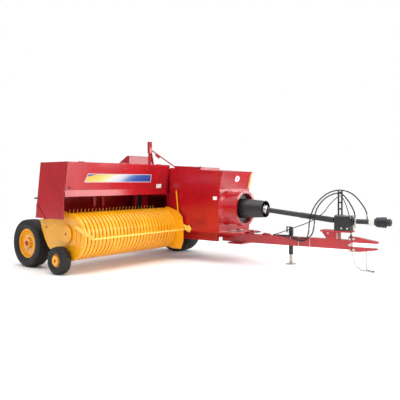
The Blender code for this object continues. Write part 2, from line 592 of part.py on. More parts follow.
def wheel(name, spec, side, rim_radius, dish, base=ROOT, zero=(0, 0, 0), steps=28):
    """A tyre and a dished rim that turn together on a spindle along Y."""
    x, y, radius, width = spec
    spin = empty(f"{name}_axis", [a - b for a, b in zip((x, y, radius), zero)], base)
    half = width / 2
    tyre = [(rim_radius, -half * 0.72), (rim_radius + 0.02, -half * 0.90), (radius - 0.07, -half),
            (radius - 0.025, -half * 0.92), (radius, -half * 0.62), (radius, half * 0.62),
            (radius - 0.025, half * 0.92), (radius - 0.07, half), (rim_radius + 0.02, half * 0.90),
            (rim_radius, half * 0.72)]
    if name == "gauge":
        tyre = [(rim_radius, -half * 0.75), (radius - 0.05, -half), (radius - 0.02, -half * 0.85),
                (radius, -half * 0.35), (radius, half * 0.35), (radius - 0.02, half * 0.85),
                (radius - 0.05, half), (rim_radius, half * 0.75)]
    local = (x, y, radius)
    place(turned(tyre, (x, y, radius), "Y", steps), f"{name}_tyre", RUBBER, spin, local)
    edge = half * 0.70
    bore = SPINDLE_RADIUS + BORE_CLEARANCE
    hub = bore + 0.045
    seat = rim_radius - GAP
    face = side * dish
    wall = 0.012
    rim = [(bore, face - 0.05), (bore, face + 0.05), (hub, face + 0.05), (hub, face + wall / 2),
           (seat - 0.03, face + wall / 2), (seat - 0.012, edge), (seat, edge),
           (seat, -edge), (seat - 0.012, -edge), (seat - 0.03, face - wall / 2),
           (hub, face - wall / 2), (hub, face - 0.05)]
    place(turned(rim, (x, y, radius), "Y", steps), f"{name}_rim", YELLOW, spin, local)


# ---------------------------------------------------------------- tongue, hitch and jack
TONGUE = empty("tongue_pivot", (*TONGUE_PIN, TONGUE_BOTTOM + TONGUE_HEIGHT / 2), ROOT, TONGUE_YAW)
TONGUE_ZERO = (0.0, 0.0, TONGUE_BOTTOM + TONGUE_HEIGHT / 2)
TONGUE_TOP = TONGUE_BOTTOM + TONGUE_HEIGHT
HALF = TONGUE_WIDTH / 2


def on_tongue(obj, name, material, base=None, zero=None):
    """Pieces of the tongue are drawn along its own axis, heights from the ground."""
    return place(obj, name, material, base or TONGUE, zero or TONGUE_ZERO)


def tongue_beam():
    beam = box(-TONGUE_TAIL, TONGUE_LENGTH, -HALF, HALF, TONGUE_BOTTOM, TONGUE_TOP)
    hole = rod((0, 0, TONGUE_BOTTOM - 0.05), (0, 0, TONGUE_TOP + 0.05), PIN_RADIUS + PIN_CLEARANCE, 16)
    gusset = outline([(0.34, TONGUE_TOP - 0.01), (0.52, TONGUE_TOP - 0.01), (0.50, TONGUE_TOP + 0.02),
                      (0.40, TONGUE_TOP + 0.03)], -0.012, 0.012)
    on_tongue(join(cut(beam, hole), gusset), "tongue_beam", RED)
    latch = box(0.185, 0.215, -0.045, 0.045, TONGUE_TOP + GAP, TONGUE_TOP + 0.06)
    pin = rod((0.17, 0.0, TONGUE_TOP + 0.04), (0.34, 0.0, TONGUE_TOP + 0.04), 0.011, 10)
    coil = rod((0.23, 0.0, TONGUE_TOP + 0.04), (0.30, 0.0, TONGUE_TOP + 0.04), 0.018, 12)
    on_tongue(join(latch, pin, coil), "tongue_latch", STEEL)


HITCH_START, HITCH_TIP = TONGUE_LENGTH + GAP, 2.075


def hitch():
    """Clevis: a bolted plate with an upper and a lower jaw and a gap for the drawbar."""
    plate = box(HITCH_START, HITCH_START + 0.03, -0.06, 0.06, TONGUE_BOTTOM - 0.03, TONGUE_TOP + 0.05)
    upper = outline([(HITCH_START + 0.02, TONGUE_TOP + 0.045), (HITCH_START + 0.10, TONGUE_TOP + 0.045),
                     (HITCH_TIP, TONGUE_TOP - 0.005), (HITCH_TIP, TONGUE_TOP - 0.03),
                     (HITCH_START + 0.02, TONGUE_TOP - 0.03)], -0.04, 0.04)
    lower = outline([(HITCH_START + 0.02, TONGUE_BOTTOM + 0.035), (HITCH_TIP, TONGUE_BOTTOM + 0.035),
                     (HITCH_TIP, TONGUE_BOTTOM + 0.015), (HITCH_START + 0.14, TONGUE_BOTTOM - 0.025),
                     (HITCH_START + 0.02, TONGUE_BOTTOM - 0.025)], -0.04, 0.04)
    hole = rod((HITCH_TIP - 0.045, 0, 0.2), (HITCH_TIP - 0.045, 0, 0.6), 0.016, 16)
    on_tongue(cut(join(plate, upper, lower), hole), "hitch_clevis", RED)


JACK_U, JACK_W = 0.80, 0.085
JACK_RADIUS, JACK_BORE = 0.034, 0.0292
JACK_LEG = 0.0262


def jack():
    low, high = 0.150, 0.530
    profile = [(JACK_RADIUS, high), (JACK_RADIUS, low), (JACK_BORE, low), (JACK_BORE, high - 0.02),
               (0.004, high - 0.02), (0.004, high)]
    sleeve = turned(profile[::-1], (JACK_U, JACK_W, 0.0), "Z", 20)
    mount = box(JACK_U - 0.05, JACK_U + 0.05, HALF + GAP, JACK_W - 0.031, TONGUE_BOTTOM + 0.02,
                TONGUE_TOP - 0.02)
    head = rod((JACK_U, JACK_W, high - 0.01), (JACK_U, JACK_W, high + 0.022), 0.03, 12)
    crank = box(JACK_U - 0.075, JACK_U + 0.01, JACK_W - 0.008, JACK_W + 0.008, high + 0.018, high + 0.03)
    grip = rod((JACK_U - 0.065, JACK_W, high - 0.06), (JACK_U - 0.065, JACK_W, high + 0.025), 0.011, 8)
    on_tongue(join(sleeve, mount, head, crank, grip), "jack_sleeve", BLACK)
    slide = empty("jack_slide", (JACK_U, JACK_W, 0.2 - TONGUE_ZERO[2]), TONGUE)
    leg = rod((JACK_U, JACK_W, 0.006), (JACK_U, JACK_W, 0.235), JACK_LEG, 16)
    foot = rod((JACK_U, JACK_W, 0.0), (JACK_U, JACK_W, 0.012), 0.075, 24)
    collar = rod((JACK_U, JACK_W, 0.22), (JACK_U, JACK_W, 0.24), 0.0285, 20)
    on_tongue(join(leg, foot, collar), "jack_leg", STEEL, slide, (JACK_U, JACK_W, 0.2))


# ---------------------------------------------------------------- drive line
SHIELD_START, SHIELD_END = 1.50, 1.72
BEARING_U = 1.63
SHIELD_HALF = 0.09


AXIS_Z = BEARING_POINT[2] + 0.012


def drive_shafts():
    swing = empty("shaft_swing", JOINT_POINT, ROOT)
    run = [b - a for a, b in zip(JOINT_POINT, BEARING_POINT)]

    def along(t):
        return [a + t * d for a, d in zip(JOINT_POINT, run)]
    outer = rod(along(0.06), along(0.88), SHAFT_RADIUS, 20)
    yoke = rod(along(0.0), along(0.08), 0.05, 16)
    place(join(outer, yoke), "rear_shaft_guard", PLASTIC, swing, swing.location)
    # bearing stand with two bolted gussets on the tongue
    stand = outline([(1.30, TONGUE_TOP + 0.115), (1.50, TONGUE_TOP + 0.115), (1.50, TONGUE_TOP + GAP),
                     (1.38, TONGUE_TOP + GAP)], -0.05, 0.05)
    top = box(1.30, 1.74, -SHIELD_HALF, SHIELD_HALF, TONGUE_TOP + 0.105, TONGUE_TOP + 0.125)
    bearing = box(BEARING_U + 0.015, BEARING_U + 0.055, -0.04, 0.04, TONGUE_TOP + 0.12, AXIS_Z + 0.05)
    leg = box(1.50, 1.56, -0.04, 0.04, TONGUE_TOP + GAP, TONGUE_TOP + 0.11)
    on_tongue(join(stand, top, leg, bearing), "bearing_stand", RED)
    seat = TONGUE_TOP + 0.125 + GAP
    shell = open_shell([(SHIELD_START, AXIS_Z + 0.075), (SHIELD_END, AXIS_Z + 0.075),
                        (SHIELD_END, seat), (SHIELD_START, seat)], -SHIELD_HALF, SHIELD_HALF, (2, 3), 0.005)
    front = rod((SHIELD_END - 0.05, 0, AXIS_Z), (SHIELD_END + 0.05, 0, AXIS_Z), 0.048, 20)
    on_tongue(cut(shell, front), "shaft_shield", BLACK)
    # front half of the drive line, on the tractor's side
    start = BEARING_U + 0.055 + GAP
    guard = rod((start, 0, AXIS_Z), (start + 0.36, 0, AXIS_Z), 0.034, 20)
    collar = rod((start + 0.27, 0, AXIS_Z), (start + 0.35, 0, AXIS_Z), 0.045, 20)
    cone_start = start + 0.35
    cone = [(0.030, 0.0), (0.030, 0.012), (0.058, 0.02), (0.066, 0.14), (0.072, 0.14),
            (0.064, 0.015), (0.045, 0.0)]
    cone = turned(cone[::-1], (cone_start, 0, AXIS_Z), "X", 24)
    on_tongue(join(guard, collar, cone), "front_shaft_guard", PLASTIC)
    spin = empty("coupler_axis", (cone_start + 0.15, 0, AXIS_Z - TONGUE_ZERO[2]), TONGUE)
    hub = rod((cone_start + 0.01 + GAP, 0, AXIS_Z), (cone_start + 0.12, 0, AXIS_Z), 0.028, 16)
    yoke = rod((cone_start + 0.10, 0, AXIS_Z), (cone_start + 0.21, 0, AXIS_Z), 0.042, 16)
    bore = rod((cone_start + 0.15, 0, AXIS_Z), (cone_start + 0.3, 0, AXIS_Z), 0.0175, 16)
    on_tongue(cut(join(hub, yoke), bore), "tractor_coupler", STEEL, spin, (cone_start + 0.15, 0, AXIS_Z))


POST_U, POST_TOP = 1.56, 1.10


def hose_post():
    low = AXIS_Z + 0.075 + GAP
    post = [box(POST_U + dx - 0.009, POST_U + dx + 0.009, -0.012, 0.012, low + 0.005, POST_TOP)
            for dx in (-0.024, 0.024)]
    ties = [box(POST_U - 0.03, POST_U + 0.03, -0.010, 0.010, z, z + 0.02)
            for z in (low + 0.08, (low + POST_TOP) / 2, POST_TOP - 0.03)]
    foot = box(POST_U - 0.06, POST_U + 0.06, -0.05, 0.05, low, low + 0.008)
    on_tongue(join(post[0], post[1], *ties, foot), "hose_post", BLACK)


# ---------------------------------------------------------------- pickup
PICKUP = empty("pickup_pivot", (PICKUP_PIVOT[0], PICKUP_RIGHT, PICKUP_PIVOT[1]), ROOT)
PICKUP_ZERO = (PICKUP_PIVOT[0], PICKUP_RIGHT, PICKUP_PIVOT[1])


def on_pickup(obj, name, material, base=None, zero=None):
    obj = place(obj, name, material, base or PICKUP)
    start = zero or PICKUP_ZERO
    obj.location = [a - b for a, b in zip(obj.location, start)]
    return obj


RAIL_X, RAIL_Z = 0.49, 0.50
SHIELD_PLATE = 0.005


def pickup_frame():
    """Cross tube and two side plates carry the bands, the reel and the gauge wheel."""
    near = [(0.262, 0.702), (0.60, 0.722), (0.80, 0.845), (0.95, 0.80), (1.10, 0.742), (1.165, 0.66),
            (1.175, 0.48), (1.08, 0.25), (1.045, 0.173), (1.0, 0.22), (0.80, 0.30), (0.50, 0.30),
            (0.45, 0.336), (0.37, 0.44), (0.30, 0.58)]
    far = [(0.385, 0.57), (0.385, 0.63), (0.45, 0.63), (0.50, 0.61), (0.64, 0.61), (0.66, 0.70), (0.945, 0.80), (0.97, 0.83), (1.05, 0.825), (1.24, 0.765), (1.33, 0.68),
           (1.355, 0.54), (1.35, 0.30), (1.30, 0.175), (1.12, 0.172), (0.80, 0.24), (0.50, 0.42)]
    reel_hole = (REEL_X, REEL_Z)
    for name, points, low in (("pickup_right_plate", near, PICKUP_RIGHT),
                              ("pickup_left_plate", far, PICKUP_LEFT - SHIELD_PLATE)):
        plate = outline(points, low, low + SHIELD_PLATE)
        hole = rod((reel_hole[0], low - 0.1, reel_hole[1]), (reel_hole[0], low + 0.1, reel_hole[1]),
                   REEL_SHAFT + PIN_CLEARANCE, 16)
        px, pz = PICKUP_PIVOT
        eye = rod((px, low - 0.1, pz), (px, low + 0.1, pz), PIVOT_PIN + PIN_CLEARANCE, 12)
        on_pickup(cut(plate, hole, eye), name, YELLOW)
    inner0, inner1 = PICKUP_RIGHT + SHIELD_PLATE + GAP, PICKUP_LEFT - SHIELD_PLATE - GAP
    rail = box(RAIL_X - 0.035, RAIL_X + 0.035, inner0, inner1, RAIL_Z - 0.035, RAIL_Z + 0.035)
    on_pickup(rail, "pickup_cross_tube", YELLOW)


REEL_SHAFT = 0.02


def band_pitch():
    return (PICKUP_LEFT - PICKUP_RIGHT - 2 * SHIELD_PLATE - 0.03) / BAND_COUNT


def stripper_bands():
    """Curved bands over the reel, joined along their rear edges by two strips."""
    angles = [math.radians(128 - i * 29.9) for i in range(10)]
    outer = [(BAND_X + BAND_RADIUS * math.cos(a), BAND_Z + BAND_RADIUS * math.sin(a)) for a in angles]
    inner_radius = BAND_RADIUS - BAND_THICK
    inner = [(BAND_X + inner_radius * math.cos(a), BAND_Z + inner_radius * math.sin(a))
             for a in angles]
    top_x, top_z = DECK_FRONT + 0.031, DECK_Z + 0.031
    low_x, low_z = outer[-1][0] - 0.023, outer[-1][1] - 0.017
    profile = ([(top_x, top_z + BAND_THICK)] + outer + [(low_x, low_z), (low_x, low_z + BAND_THICK)]
               + inner[::-1] + [(top_x, top_z)])
    pitch = band_pitch()
    start = PICKUP_RIGHT + SHIELD_PLATE + 0.015 + pitch / 2
    bands = []
    for i in range(BAND_COUNT):
        centre = start + i * pitch
        bands.append(outline(profile, centre - BAND_WIDTH / 2, centre + BAND_WIDTH / 2))
    side0, side1 = PICKUP_RIGHT + SHIELD_PLATE + GAP, PICKUP_LEFT - SHIELD_PLATE - GAP
    low_strip = box(low_x - 0.010, low_x + 0.009, side0, side1, low_z - 0.010, low_z + 0.010)
    top_strip = box(top_x - 0.006, top_x + 0.006, side0, side1, top_z - 0.011, top_z + 0.011)
    on_pickup(join(low_strip, top_strip, *bands), "stripper_bands", YELLOW)


def tine_reel():
    spin = empty("reel_axis", (REEL_X - PICKUP_PIVOT[0], 0.0, REEL_Z - PICKUP_PIVOT[1]), PICKUP)
    shaft = rod((REEL_X, PICKUP_RIGHT - 0.012, REEL_Z), (REEL_X, PICKUP_LEFT + 0.012, REEL_Z),
                REEL_SHAFT, 16)
    pitch = band_pitch()
    start = PICKUP_RIGHT + SHIELD_PLATE + 0.015
    extras = [rod((REEL_X, y, REEL_Z), (REEL_X, y + 0.006, REEL_Z), BAR_RADIUS + 0.03, 20)
              for y in (PICKUP_RIGHT + SHIELD_PLATE + 0.004, PICKUP_LEFT - SHIELD_PLATE - 0.010)]
    for k in range(4):
        angle = math.radians(35 + 90 * k)
        c, s = math.cos(angle), math.sin(angle)
        x, z = REEL_X + BAR_RADIUS * c, REEL_Z + BAR_RADIUS * s
        extras.append(rod((x, PICKUP_RIGHT + SHIELD_PLATE + 0.006, z),
                          (x, PICKUP_LEFT - SHIELD_PLATE - 0.006, z), 0.013, 8))
        for i in range(1, BAND_COUNT, 2):
            y = start + i * pitch
            tip = (REEL_X + TINE_RADIUS * c, y, REEL_Z + TINE_RADIUS * s)
            extras.append(rod((x, y, z), tip, TINE_THICK / 2, 4))
    reel = join(shaft, *extras)
    obj = place(reel, "tine_reel", IRON, spin)
    obj.location = [a - b for a, b in zip(obj.location, (REEL_X, PICKUP_RIGHT, REEL_Z))]


def wind_guard():
    px, pz = GUARD_PIVOT
    rx, rz = GUARD_ROD
    pivot = empty("guard_pivot", (px - PICKUP_PIVOT[0], 0.0, pz - PICKUP_PIVOT[1]), PICKUP)
    right, left = PICKUP_RIGHT - 0.014, PICKUP_LEFT + 0.008
    cross = rod((rx, right + 0.004, rz), (rx, left + 0.006, rz), 0.011, 12)
    arms = []
    for y in (right, left):
        arms.append(outline([(px - 0.02, pz - 0.02), (px - 0.01, pz + 0.02), (px + 0.10, pz - 0.01),
                             (rx + 0.02, rz + 0.02), (rx + 0.01, rz - 0.02), (px + 0.1, pz - 0.075)],
                            y, y + 0.006))
    star = outline([(rx + 0.06 * math.cos(math.radians(72 * i)) - 0.01,
                     rz + 0.06 * math.sin(math.radians(72 * i))) for i in range(5)],
                   left + 0.006, left + 0.012)
    pins = [rod((px, PICKUP_RIGHT - GAP, pz), (px, right, pz), 0.009, 8),
            rod((px, PICKUP_LEFT + GAP, pz), (px, left + 0.003, pz), 0.009, 8)]
    place(join(cross, *arms, star, *pins), "wind_guard", YELLOW, pivot, (px, PICKUP_RIGHT, pz))


def gauge_and_strap():
    x, y, radius, _ = GAUGE_WHEEL
    arm_y = PICKUP_RIGHT - GAP
    arm = box(x - 0.03, x + 0.03, arm_y - 0.012, arm_y, radius - 0.02, 0.46)
    spindle = rod((x, y - 0.03, radius), (x, arm_y - 0.004, radius), SPINDLE_RADIUS, 16)
    on_pickup(join(arm, spindle), "gauge_arm", YELLOW)
    top = 1.10
    bottom_x, top_x = 1.24, 1.20
    strap_y = PICKUP_LEFT + GAP
    strap = outline([(bottom_x - 0.012, 0.70), (bottom_x + 0.012, 0.70), (top_x + 0.012, top - 0.02),
                     (top_x, top), (top_x - 0.012, top - 0.02)], strap_y, strap_y + 0.006)
    on_pickup(strap, "lift_strap", YELLOW)


# ---------------------------------------------------------------- twine box
def twine_box():
    x0, x1, y0, y1, z0, z1 = -0.72, -0.08, CASE_OUT_LEFT + GAP, CASE_OUT_LEFT + 0.36, 0.90, 1.36
    shell = open_shell([(x0, z1), (x1, z1), (x1, z0), (x0, z0)], y0, y1, (0,), SHEET)
    place(shell, "twine_box", RED)
    hinge = empty("twine_lid_hinge", (x0 - 0.01, y0, z1 + GAP), ROOT)
    lid = box(x0 - 0.01, x1 + 0.01, y0, y1 + 0.01, z1 + GAP, z1 + 0.012)
    place(lid, "twine_box_lid", RED, hinge, hinge.location)


# ---------------------------------------------------------------- hoses and chain
def smooth(points, count):
    """Evenly spread points on a Catmull-Rom curve through the route's own points."""
    out = []
    last = len(points) - 1
    for i in range(count + 1):
        t = i / count * last
        k = min(int(t), last - 1)
        f = t - k
        p0, p1 = points[max(k - 1, 0)], points[k]
        p2, p3 = points[k + 1], points[min(k + 2, last)]
        out.append(tuple(
            0.5 * (2 * b + (c - a) * f + (2 * a - 5 * b + 4 * c - d) * f * f
                   + (3 * b - a - 3 * c + d) * f ** 3)
            for a, b, c, d in zip(p0, p1, p2, p3)))
    return out


HOSE_RADIUS, HARNESS_RADIUS, CHAIN_RADIUS = 0.009, 0.006, 0.009
BED = TONGUE_TOP + GAP + HOSE_RADIUS
ROUTES = {
    "hydraulic_hose_a": (HOSE_RADIUS, HOSE, 44, [
        (0.56, -0.022, BED), (0.66, -0.048, BED + 0.004), (0.80, -0.062, 0.42), (1.00, -0.063, 0.375),
        (1.10, -0.100, 0.41), (1.16, -0.165, 0.52), (1.19, -0.195, 0.70), (1.26, -0.175, 0.90),
        (1.40, -0.10, 1.06), (1.56, 0.012, 1.1125), (1.72, 0.080, 1.05), (1.86, 0.100, 0.88),
        (1.905, 0.100, 0.77), (1.905, 0.100, 0.75), (1.905, 0.100, 0.73)]),
    "hydraulic_hose_b": (HOSE_RADIUS, HOSE, 44, [
        (0.58, 0.006, BED), (0.70, -0.022, BED + 0.002), (0.84, -0.060, BED + 0.008),
        (0.92, -0.065, 0.425), (1.00, -0.065, 0.410), (1.12, -0.070, 0.425), (1.20, -0.12, 0.50),
        (1.255, -0.20, 0.64), (1.27, -0.225, 0.76), (1.32, -0.205, 0.90), (1.42, -0.14, 1.02), (1.55, -0.0235, 1.072), (1.68, -0.115, 1.00),
        (1.78, -0.125, 0.84), (1.80, -0.125, 0.73), (1.80, -0.125, 0.71), (1.80, -0.125, 0.69)]),
    "wiring_harness": (HARNESS_RADIUS, HOSE, 32, [
        (0.54, 0.036, TONGUE_TOP + GAP + HARNESS_RADIUS), (0.68, -0.02, 0.475), (0.95, -0.13, 0.575),
        (1.20, -0.265, 0.665), (1.30, -0.262, 0.73), (1.38, -0.18, 0.80), (1.44, -0.13, 0.90), (1.52, -0.06, 1.00),
        (1.58, -0.028, 1.028), (1.66, -0.08, 0.92), (1.72, -0.105, 0.74), (1.74, -0.108, 0.60),
        (1.74, -0.108, 0.52)]),
    "safety_chain": (CHAIN_RADIUS, STEEL, 40, [
        (HITCH_START + 0.045, 0.0, TONGUE_BOTTOM - 0.026), (HITCH_START + 0.05, 0.0, 0.17),
        (HITCH_START + 0.09, 0.01, 0.07), (HITCH_START + 0.16, 0.03, 0.016),
        (HITCH_START + 0.25, 0.06, 0.012), (HITCH_START + 0.33, 0.02, 0.012),
        (HITCH_START + 0.29, -0.03, 0.014), (HITCH_START + 0.235, -0.02, 0.05),
        (HITCH_START + 0.225, 0.0, 0.14), (HITCH_START + 0.225, 0.0, TONGUE_BOTTOM - 0.0135)]),
}


def cords():
    for name, (radius, material, count, route) in ROUTES.items():
        curve = tube(smooth(route, count), radius, 2)
        on_tongue(curve, name, material)


def couplers():
    """A rack on the front shaft's side holds the ends of the hoses."""
    for name, (x, y, z) in (("coupler_a", ROUTES["hydraulic_hose_a"][3][-1]),
                            ("coupler_b", ROUTES["hydraulic_hose_b"][3][-1])):
        body = rod((x, y, z - 0.09), (x, y, z - GAP), 0.013, 12)
        on_tongue(body, name, STEEL)


tension_section()
bale_case()
plunger()
knotters()
needles()
feeder_housing()
feeder_carriage()
feeder_drive()
plunger_housing()
flywheel_parts()
main_frame()
axles()
wheel("right", RIGHT_WHEEL, -1, 0.21, 0.035)
wheel("left", LEFT_WHEEL, 1, 0.21, 0.06)
tongue_beam()
hitch()
jack()
drive_shafts()
hose_post()
pickup_frame()
stripper_bands()
tine_reel()
wind_guard()
gauge_and_strap()
wheel("gauge", GAUGE_WHEEL, -1, 0.085, 0.02, PICKUP, PICKUP_ZERO, 20)
twine_box()
cords()
couplers()
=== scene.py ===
# %% [markdown]
# # A square baler
# A towed machine that gathers cut hay with a reel of spring tines, packs it in a long chamber and ties it
# into bales. The frame below is the measured model; this script gives it finishes and the small parts
# that catch the eye: tread, bolts, hoses, chain, louvres and labels.

# %% Load the frame
import math

import bpy
import numpy as np
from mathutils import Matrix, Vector


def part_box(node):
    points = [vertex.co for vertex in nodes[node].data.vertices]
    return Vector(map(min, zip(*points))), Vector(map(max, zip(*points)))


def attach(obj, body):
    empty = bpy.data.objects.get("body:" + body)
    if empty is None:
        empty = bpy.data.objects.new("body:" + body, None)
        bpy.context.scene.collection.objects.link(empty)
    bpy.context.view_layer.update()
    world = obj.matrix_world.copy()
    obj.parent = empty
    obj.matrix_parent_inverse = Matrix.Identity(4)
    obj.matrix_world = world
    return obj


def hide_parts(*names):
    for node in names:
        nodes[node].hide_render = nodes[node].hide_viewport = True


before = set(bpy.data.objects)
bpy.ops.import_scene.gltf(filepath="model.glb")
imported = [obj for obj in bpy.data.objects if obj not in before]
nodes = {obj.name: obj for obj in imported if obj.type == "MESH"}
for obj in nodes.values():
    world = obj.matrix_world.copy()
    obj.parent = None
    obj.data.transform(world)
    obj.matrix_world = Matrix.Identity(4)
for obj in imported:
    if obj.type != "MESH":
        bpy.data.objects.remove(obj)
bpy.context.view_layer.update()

# %% [markdown]
# ## Two places to measure from
# The machine is drawn from a point under its right wheel, and the drawbar from its own pin, turned by
# 7.2 degrees to the field position. Each helper turns such measures into the frame's metres.

# %% Coordinates
ORIGIN = np.array([1.64, 1.28, 0.0])
TONGUE_PIN = np.array([2.05, 2.357, 0.0])
TONGUE_YAW = math.radians(7.2)


def machine(points):
    """Machine measures to the frame: the origin's place is taken off."""
    return np.asarray(points, float) - ORIGIN


def tongue(points):
    """Drawbar measures (along, across, height) to the frame: a turn by the yaw, then the pin's place."""
    points = np.asarray(points, float)
    c, s = math.cos(TONGUE_YAW), math.sin(TONGUE_YAW)
    turn = np.array([[c, -s, 0.0], [s, c, 0.0], [0.0, 0.0, 1.0]])
    return machine(points @ turn.T + TONGUE_PIN)


# %% [markdown]
# ## Camera
# The camera stands at eye level off the right front corner and looks level, so that upright edges stay
# upright. The lens is shifted down a little instead of being tilted.

# %% Camera
EYE = (4.887, -5.460, 1.24)
LOOK = Vector((-0.6293, 0.7771, 0.0))
camera_data = bpy.data.cameras.new("camera")
camera_data.lens = 45.54
camera_data.sensor_width = 36.0
camera_data.shift_y = -0.0475
camera = bpy.data.objects.new("camera", camera_data)
camera.location = EYE
camera.rotation_euler = LOOK.to_track_quat("-Z", "Y").to_euler()
bpy.context.scene.collection.objects.link(camera)
bpy.context.scene.camera = camera


# %% [markdown]
# ## Colour and node helpers
# Paint charts give colours as sRGB hex values, and the renderer works in linear light, so one function
# turns one into the other. A second adds a shader node with its settings and its links.

# %% Helpers for materials
def linear(hex_colour):
    """sRGB hex to linear RGBA: below 0.04045 a straight line, above it the 2.4 power."""
    value = np.array([int(hex_colour[i:i + 2], 16) for i in (1, 3, 5)]) / 255.0
    out = np.where(value <= 0.04045, value / 12.92, ((value + 0.055) / 1.055) ** 2.4)
    return (*[float(v) for v in out], 1.0)


def add_node(tree, kind, settings=None, links=None):
    """Adds one node; links maps an input to a constant or to another node's output socket."""
    node = tree.nodes.new(kind)
    for key, value in (settings or {}).items():
        setattr(node, key, value)
    for key, value in (links or {}).items():
        if isinstance(value, bpy.types.NodeSocket):
            tree.links.new(value, node.inputs[key])
        else:
            node.inputs[key].default_value = value
    return node


def new_material(name):
    """An empty node material: returns the material, its tree, its surface shader and object coordinates."""
    material = bpy.data.materials.new(name)
    material.use_nodes = True
    tree = material.node_tree
    shader = next(n for n in tree.nodes if n.type == "BSDF_PRINCIPLED")
    coords = add_node(tree, "ShaderNodeTexCoord")
    return material, tree, shader, coords.outputs["Object"]


def two_tone(tree, coords, low, high, size, detail=4.0, spread=(0.35, 0.65)):
    """Blends two colours over patches of a real size in metres."""
    noise = add_node(tree, "ShaderNodeTexNoise", None, {"Vector": coords, "Scale": 1.0 / size,
        "Detail": detail, "Roughness": 0.6})
    ramp = add_node(tree, "ShaderNodeValToRGB", None, {"Fac": noise.outputs["Fac"]})
    ramp.color_ramp.elements[0].position, ramp.color_ramp.elements[1].position = spread
    ramp.color_ramp.elements[0].color = linear(low)
    ramp.color_ramp.elements[1].color = linear(high)
    return ramp.outputs["Color"]


def grain(tree, coords, size, low, high, detail=3.0):
    """A value that wanders between low and high over patches of a real size, such as a roughness."""
    noise = add_node(tree, "ShaderNodeTexNoise", None, {"Vector": coords, "Scale": 1.0 / size,
        "Detail": detail})
    span = add_node(tree, "ShaderNodeMapRange", None, {"Value": noise.outputs["Fac"], "From Min": 0.3,
        "From Max": 0.7, "To Min": low, "To Max": high})
    return span.outputs["Result"]


def bump(tree, coords, size, height, edge=0.0):
    """A surface grain of a real size and height in metres; edge rounds off sharp corners in the light."""
    noise = add_node(tree, "ShaderNodeTexNoise", None, {"Vector": coords, "Scale": 1.0 / size,
        "Detail": 2.0})
    links = {"Height": noise.outputs["Fac"], "Distance": height, "Strength": 1.0}
    if edge:
        rounded = add_node(tree, "ShaderNodeBevel", {"samples": 6}, {"Radius": edge})
        links["Normal"] = rounded.outputs["Normal"]
    return add_node(tree, "ShaderNodeBump", None, links).outputs["Normal"]


# %% [markdown]
# ## Finishes
# Sheet steel is sprayed with a baked alkyd enamel: strong colour, a clear gloss, and a faint orange-peel
# ripple about 6 mm across that makes reflections waver. The colour drifts very slightly from panel to
# panel, and the roughness with it.

# %% Enamels
def surface(name, deep, bright, patch, rough, drift, pit, depth, edge=0.0, settings=None):
    """Two colours over patches, a roughness that drifts between two values, and a fine grain."""
    material, tree, shader, coords = new_material(name)
    tree.links.new(two_tone(tree, coords, deep, bright, patch), shader.inputs["Base Color"])
    tree.links.new(grain(tree, coords, drift, *rough), shader.inputs["Roughness"])
    tree.links.new(bump(tree, coords, pit, depth, edge), shader.inputs["Normal"])
    for key, value in (settings or {}).items():
        shader.inputs[key].default_value = value
    return material


def enamel(name, deep, bright, rough, coat):
    """Sprayed enamel: broad drifts of colour, a 6 mm ripple, a clear gloss and softened edges."""
    return surface(name, deep, bright, 0.45, rough, 0.09, 0.006, 0.00002, 0.003,
        {"Coat Weight": coat, "Coat Roughness": 0.12, "IOR": 1.5})


red = enamel("red_baked_enamel", "#A60E1A", "#B81420", (0.18, 0.28), 0.4)
yellow = enamel("yellow_baked_enamel", "#F0A00A", "#FAB41A", (0.24, 0.36), 0.3)
pale_yellow = enamel("pale_yellow_enamel", "#FBC64A", "#FFD468", (0.30, 0.42), 0.2)
black = enamel("black_chassis_enamel", "#101011", "#1B1B1D", (0.30, 0.45), 0.2)
grey = enamel("grey_enamel", "#8C8E90", "#A3A5A7", (0.35, 0.5), 0.1)


# %% [markdown]
# Rubber and plastic are dull and dark. Vulcanised rubber is a dark grey rather than black, powdery where
# it has stood; polypropylene shaft guards have the fine grain of their mould; hose covers carry a
# cloth print under 1 mm, drawn here a little coarser so that it shows.

# %% Rubber and plastic
def moulded(name, deep, bright, patch, rough, pit, depth):
    return surface(name, deep, bright, patch, rough, patch / 2, pit, depth)


tyre_rubber = moulded("vulcanised_tyre_rubber", "#0B0A0A", "#151413", 0.05, (0.50, 0.68), 0.003, 0.0002)
guard_plastic = moulded("moulded_polypropylene", "#17181B", "#24262A", 0.12, (0.34, 0.50), 0.002, 0.00006)
hose_cover = moulded("braided_hose_rubber", "#101011", "#1D1D1E", 0.02, (0.45, 0.62), 0.0016, 0.0002)
tie_nylon = moulded("white_nylon_ties", "#DCDCD6", "#EFEFEA", 0.02, (0.40, 0.55), 0.001, 0.00003)


# %% [markdown]
# Bare metal is metallic with its own tint: bright zinc plating on bolts, darker steel in the chain,
# ground steel on shafts, and sand-cast iron with its pitted skin.

# %% Metals
def metal(name, deep, bright, patch, rough, pit, depth, metallic=1.0):
    return surface(name, deep, bright, patch, rough, patch / 2, pit, depth, 0.0, {"Metallic": metallic})


zinc = metal("bright_zinc_plate", "#B9BBB8", "#DAD9D3", 0.015, (0.24, 0.38), 0.001, 0.00002)
chain_steel = metal("plain_chain_steel", "#5E5D5B", "#8A8884", 0.012, (0.34, 0.5), 0.001, 0.00003)
galvanised = metal("galvanised_tube", "#A9ABA9", "#CFCFCB", 0.03, (0.34, 0.48), 0.002, 0.00003)
steel = metal("ground_steel", "#A5A7A8", "#C9CACA", 0.05, (0.20, 0.34), 0.002, 0.00002)
iron = metal("sand_cast_iron", "#3A3A3B", "#56565A", 0.04, (0.50, 0.70), 0.003, 0.0003, 0.7)
worn_steel = metal("hay_polished_steel", "#7D7A76", "#A6A29B", 0.2, (0.28, 0.45), 0.01, 0.00005)

# %% [markdown]
# Every solid of the frame takes one of these finishes. The table reads: finish, then the pieces in it.

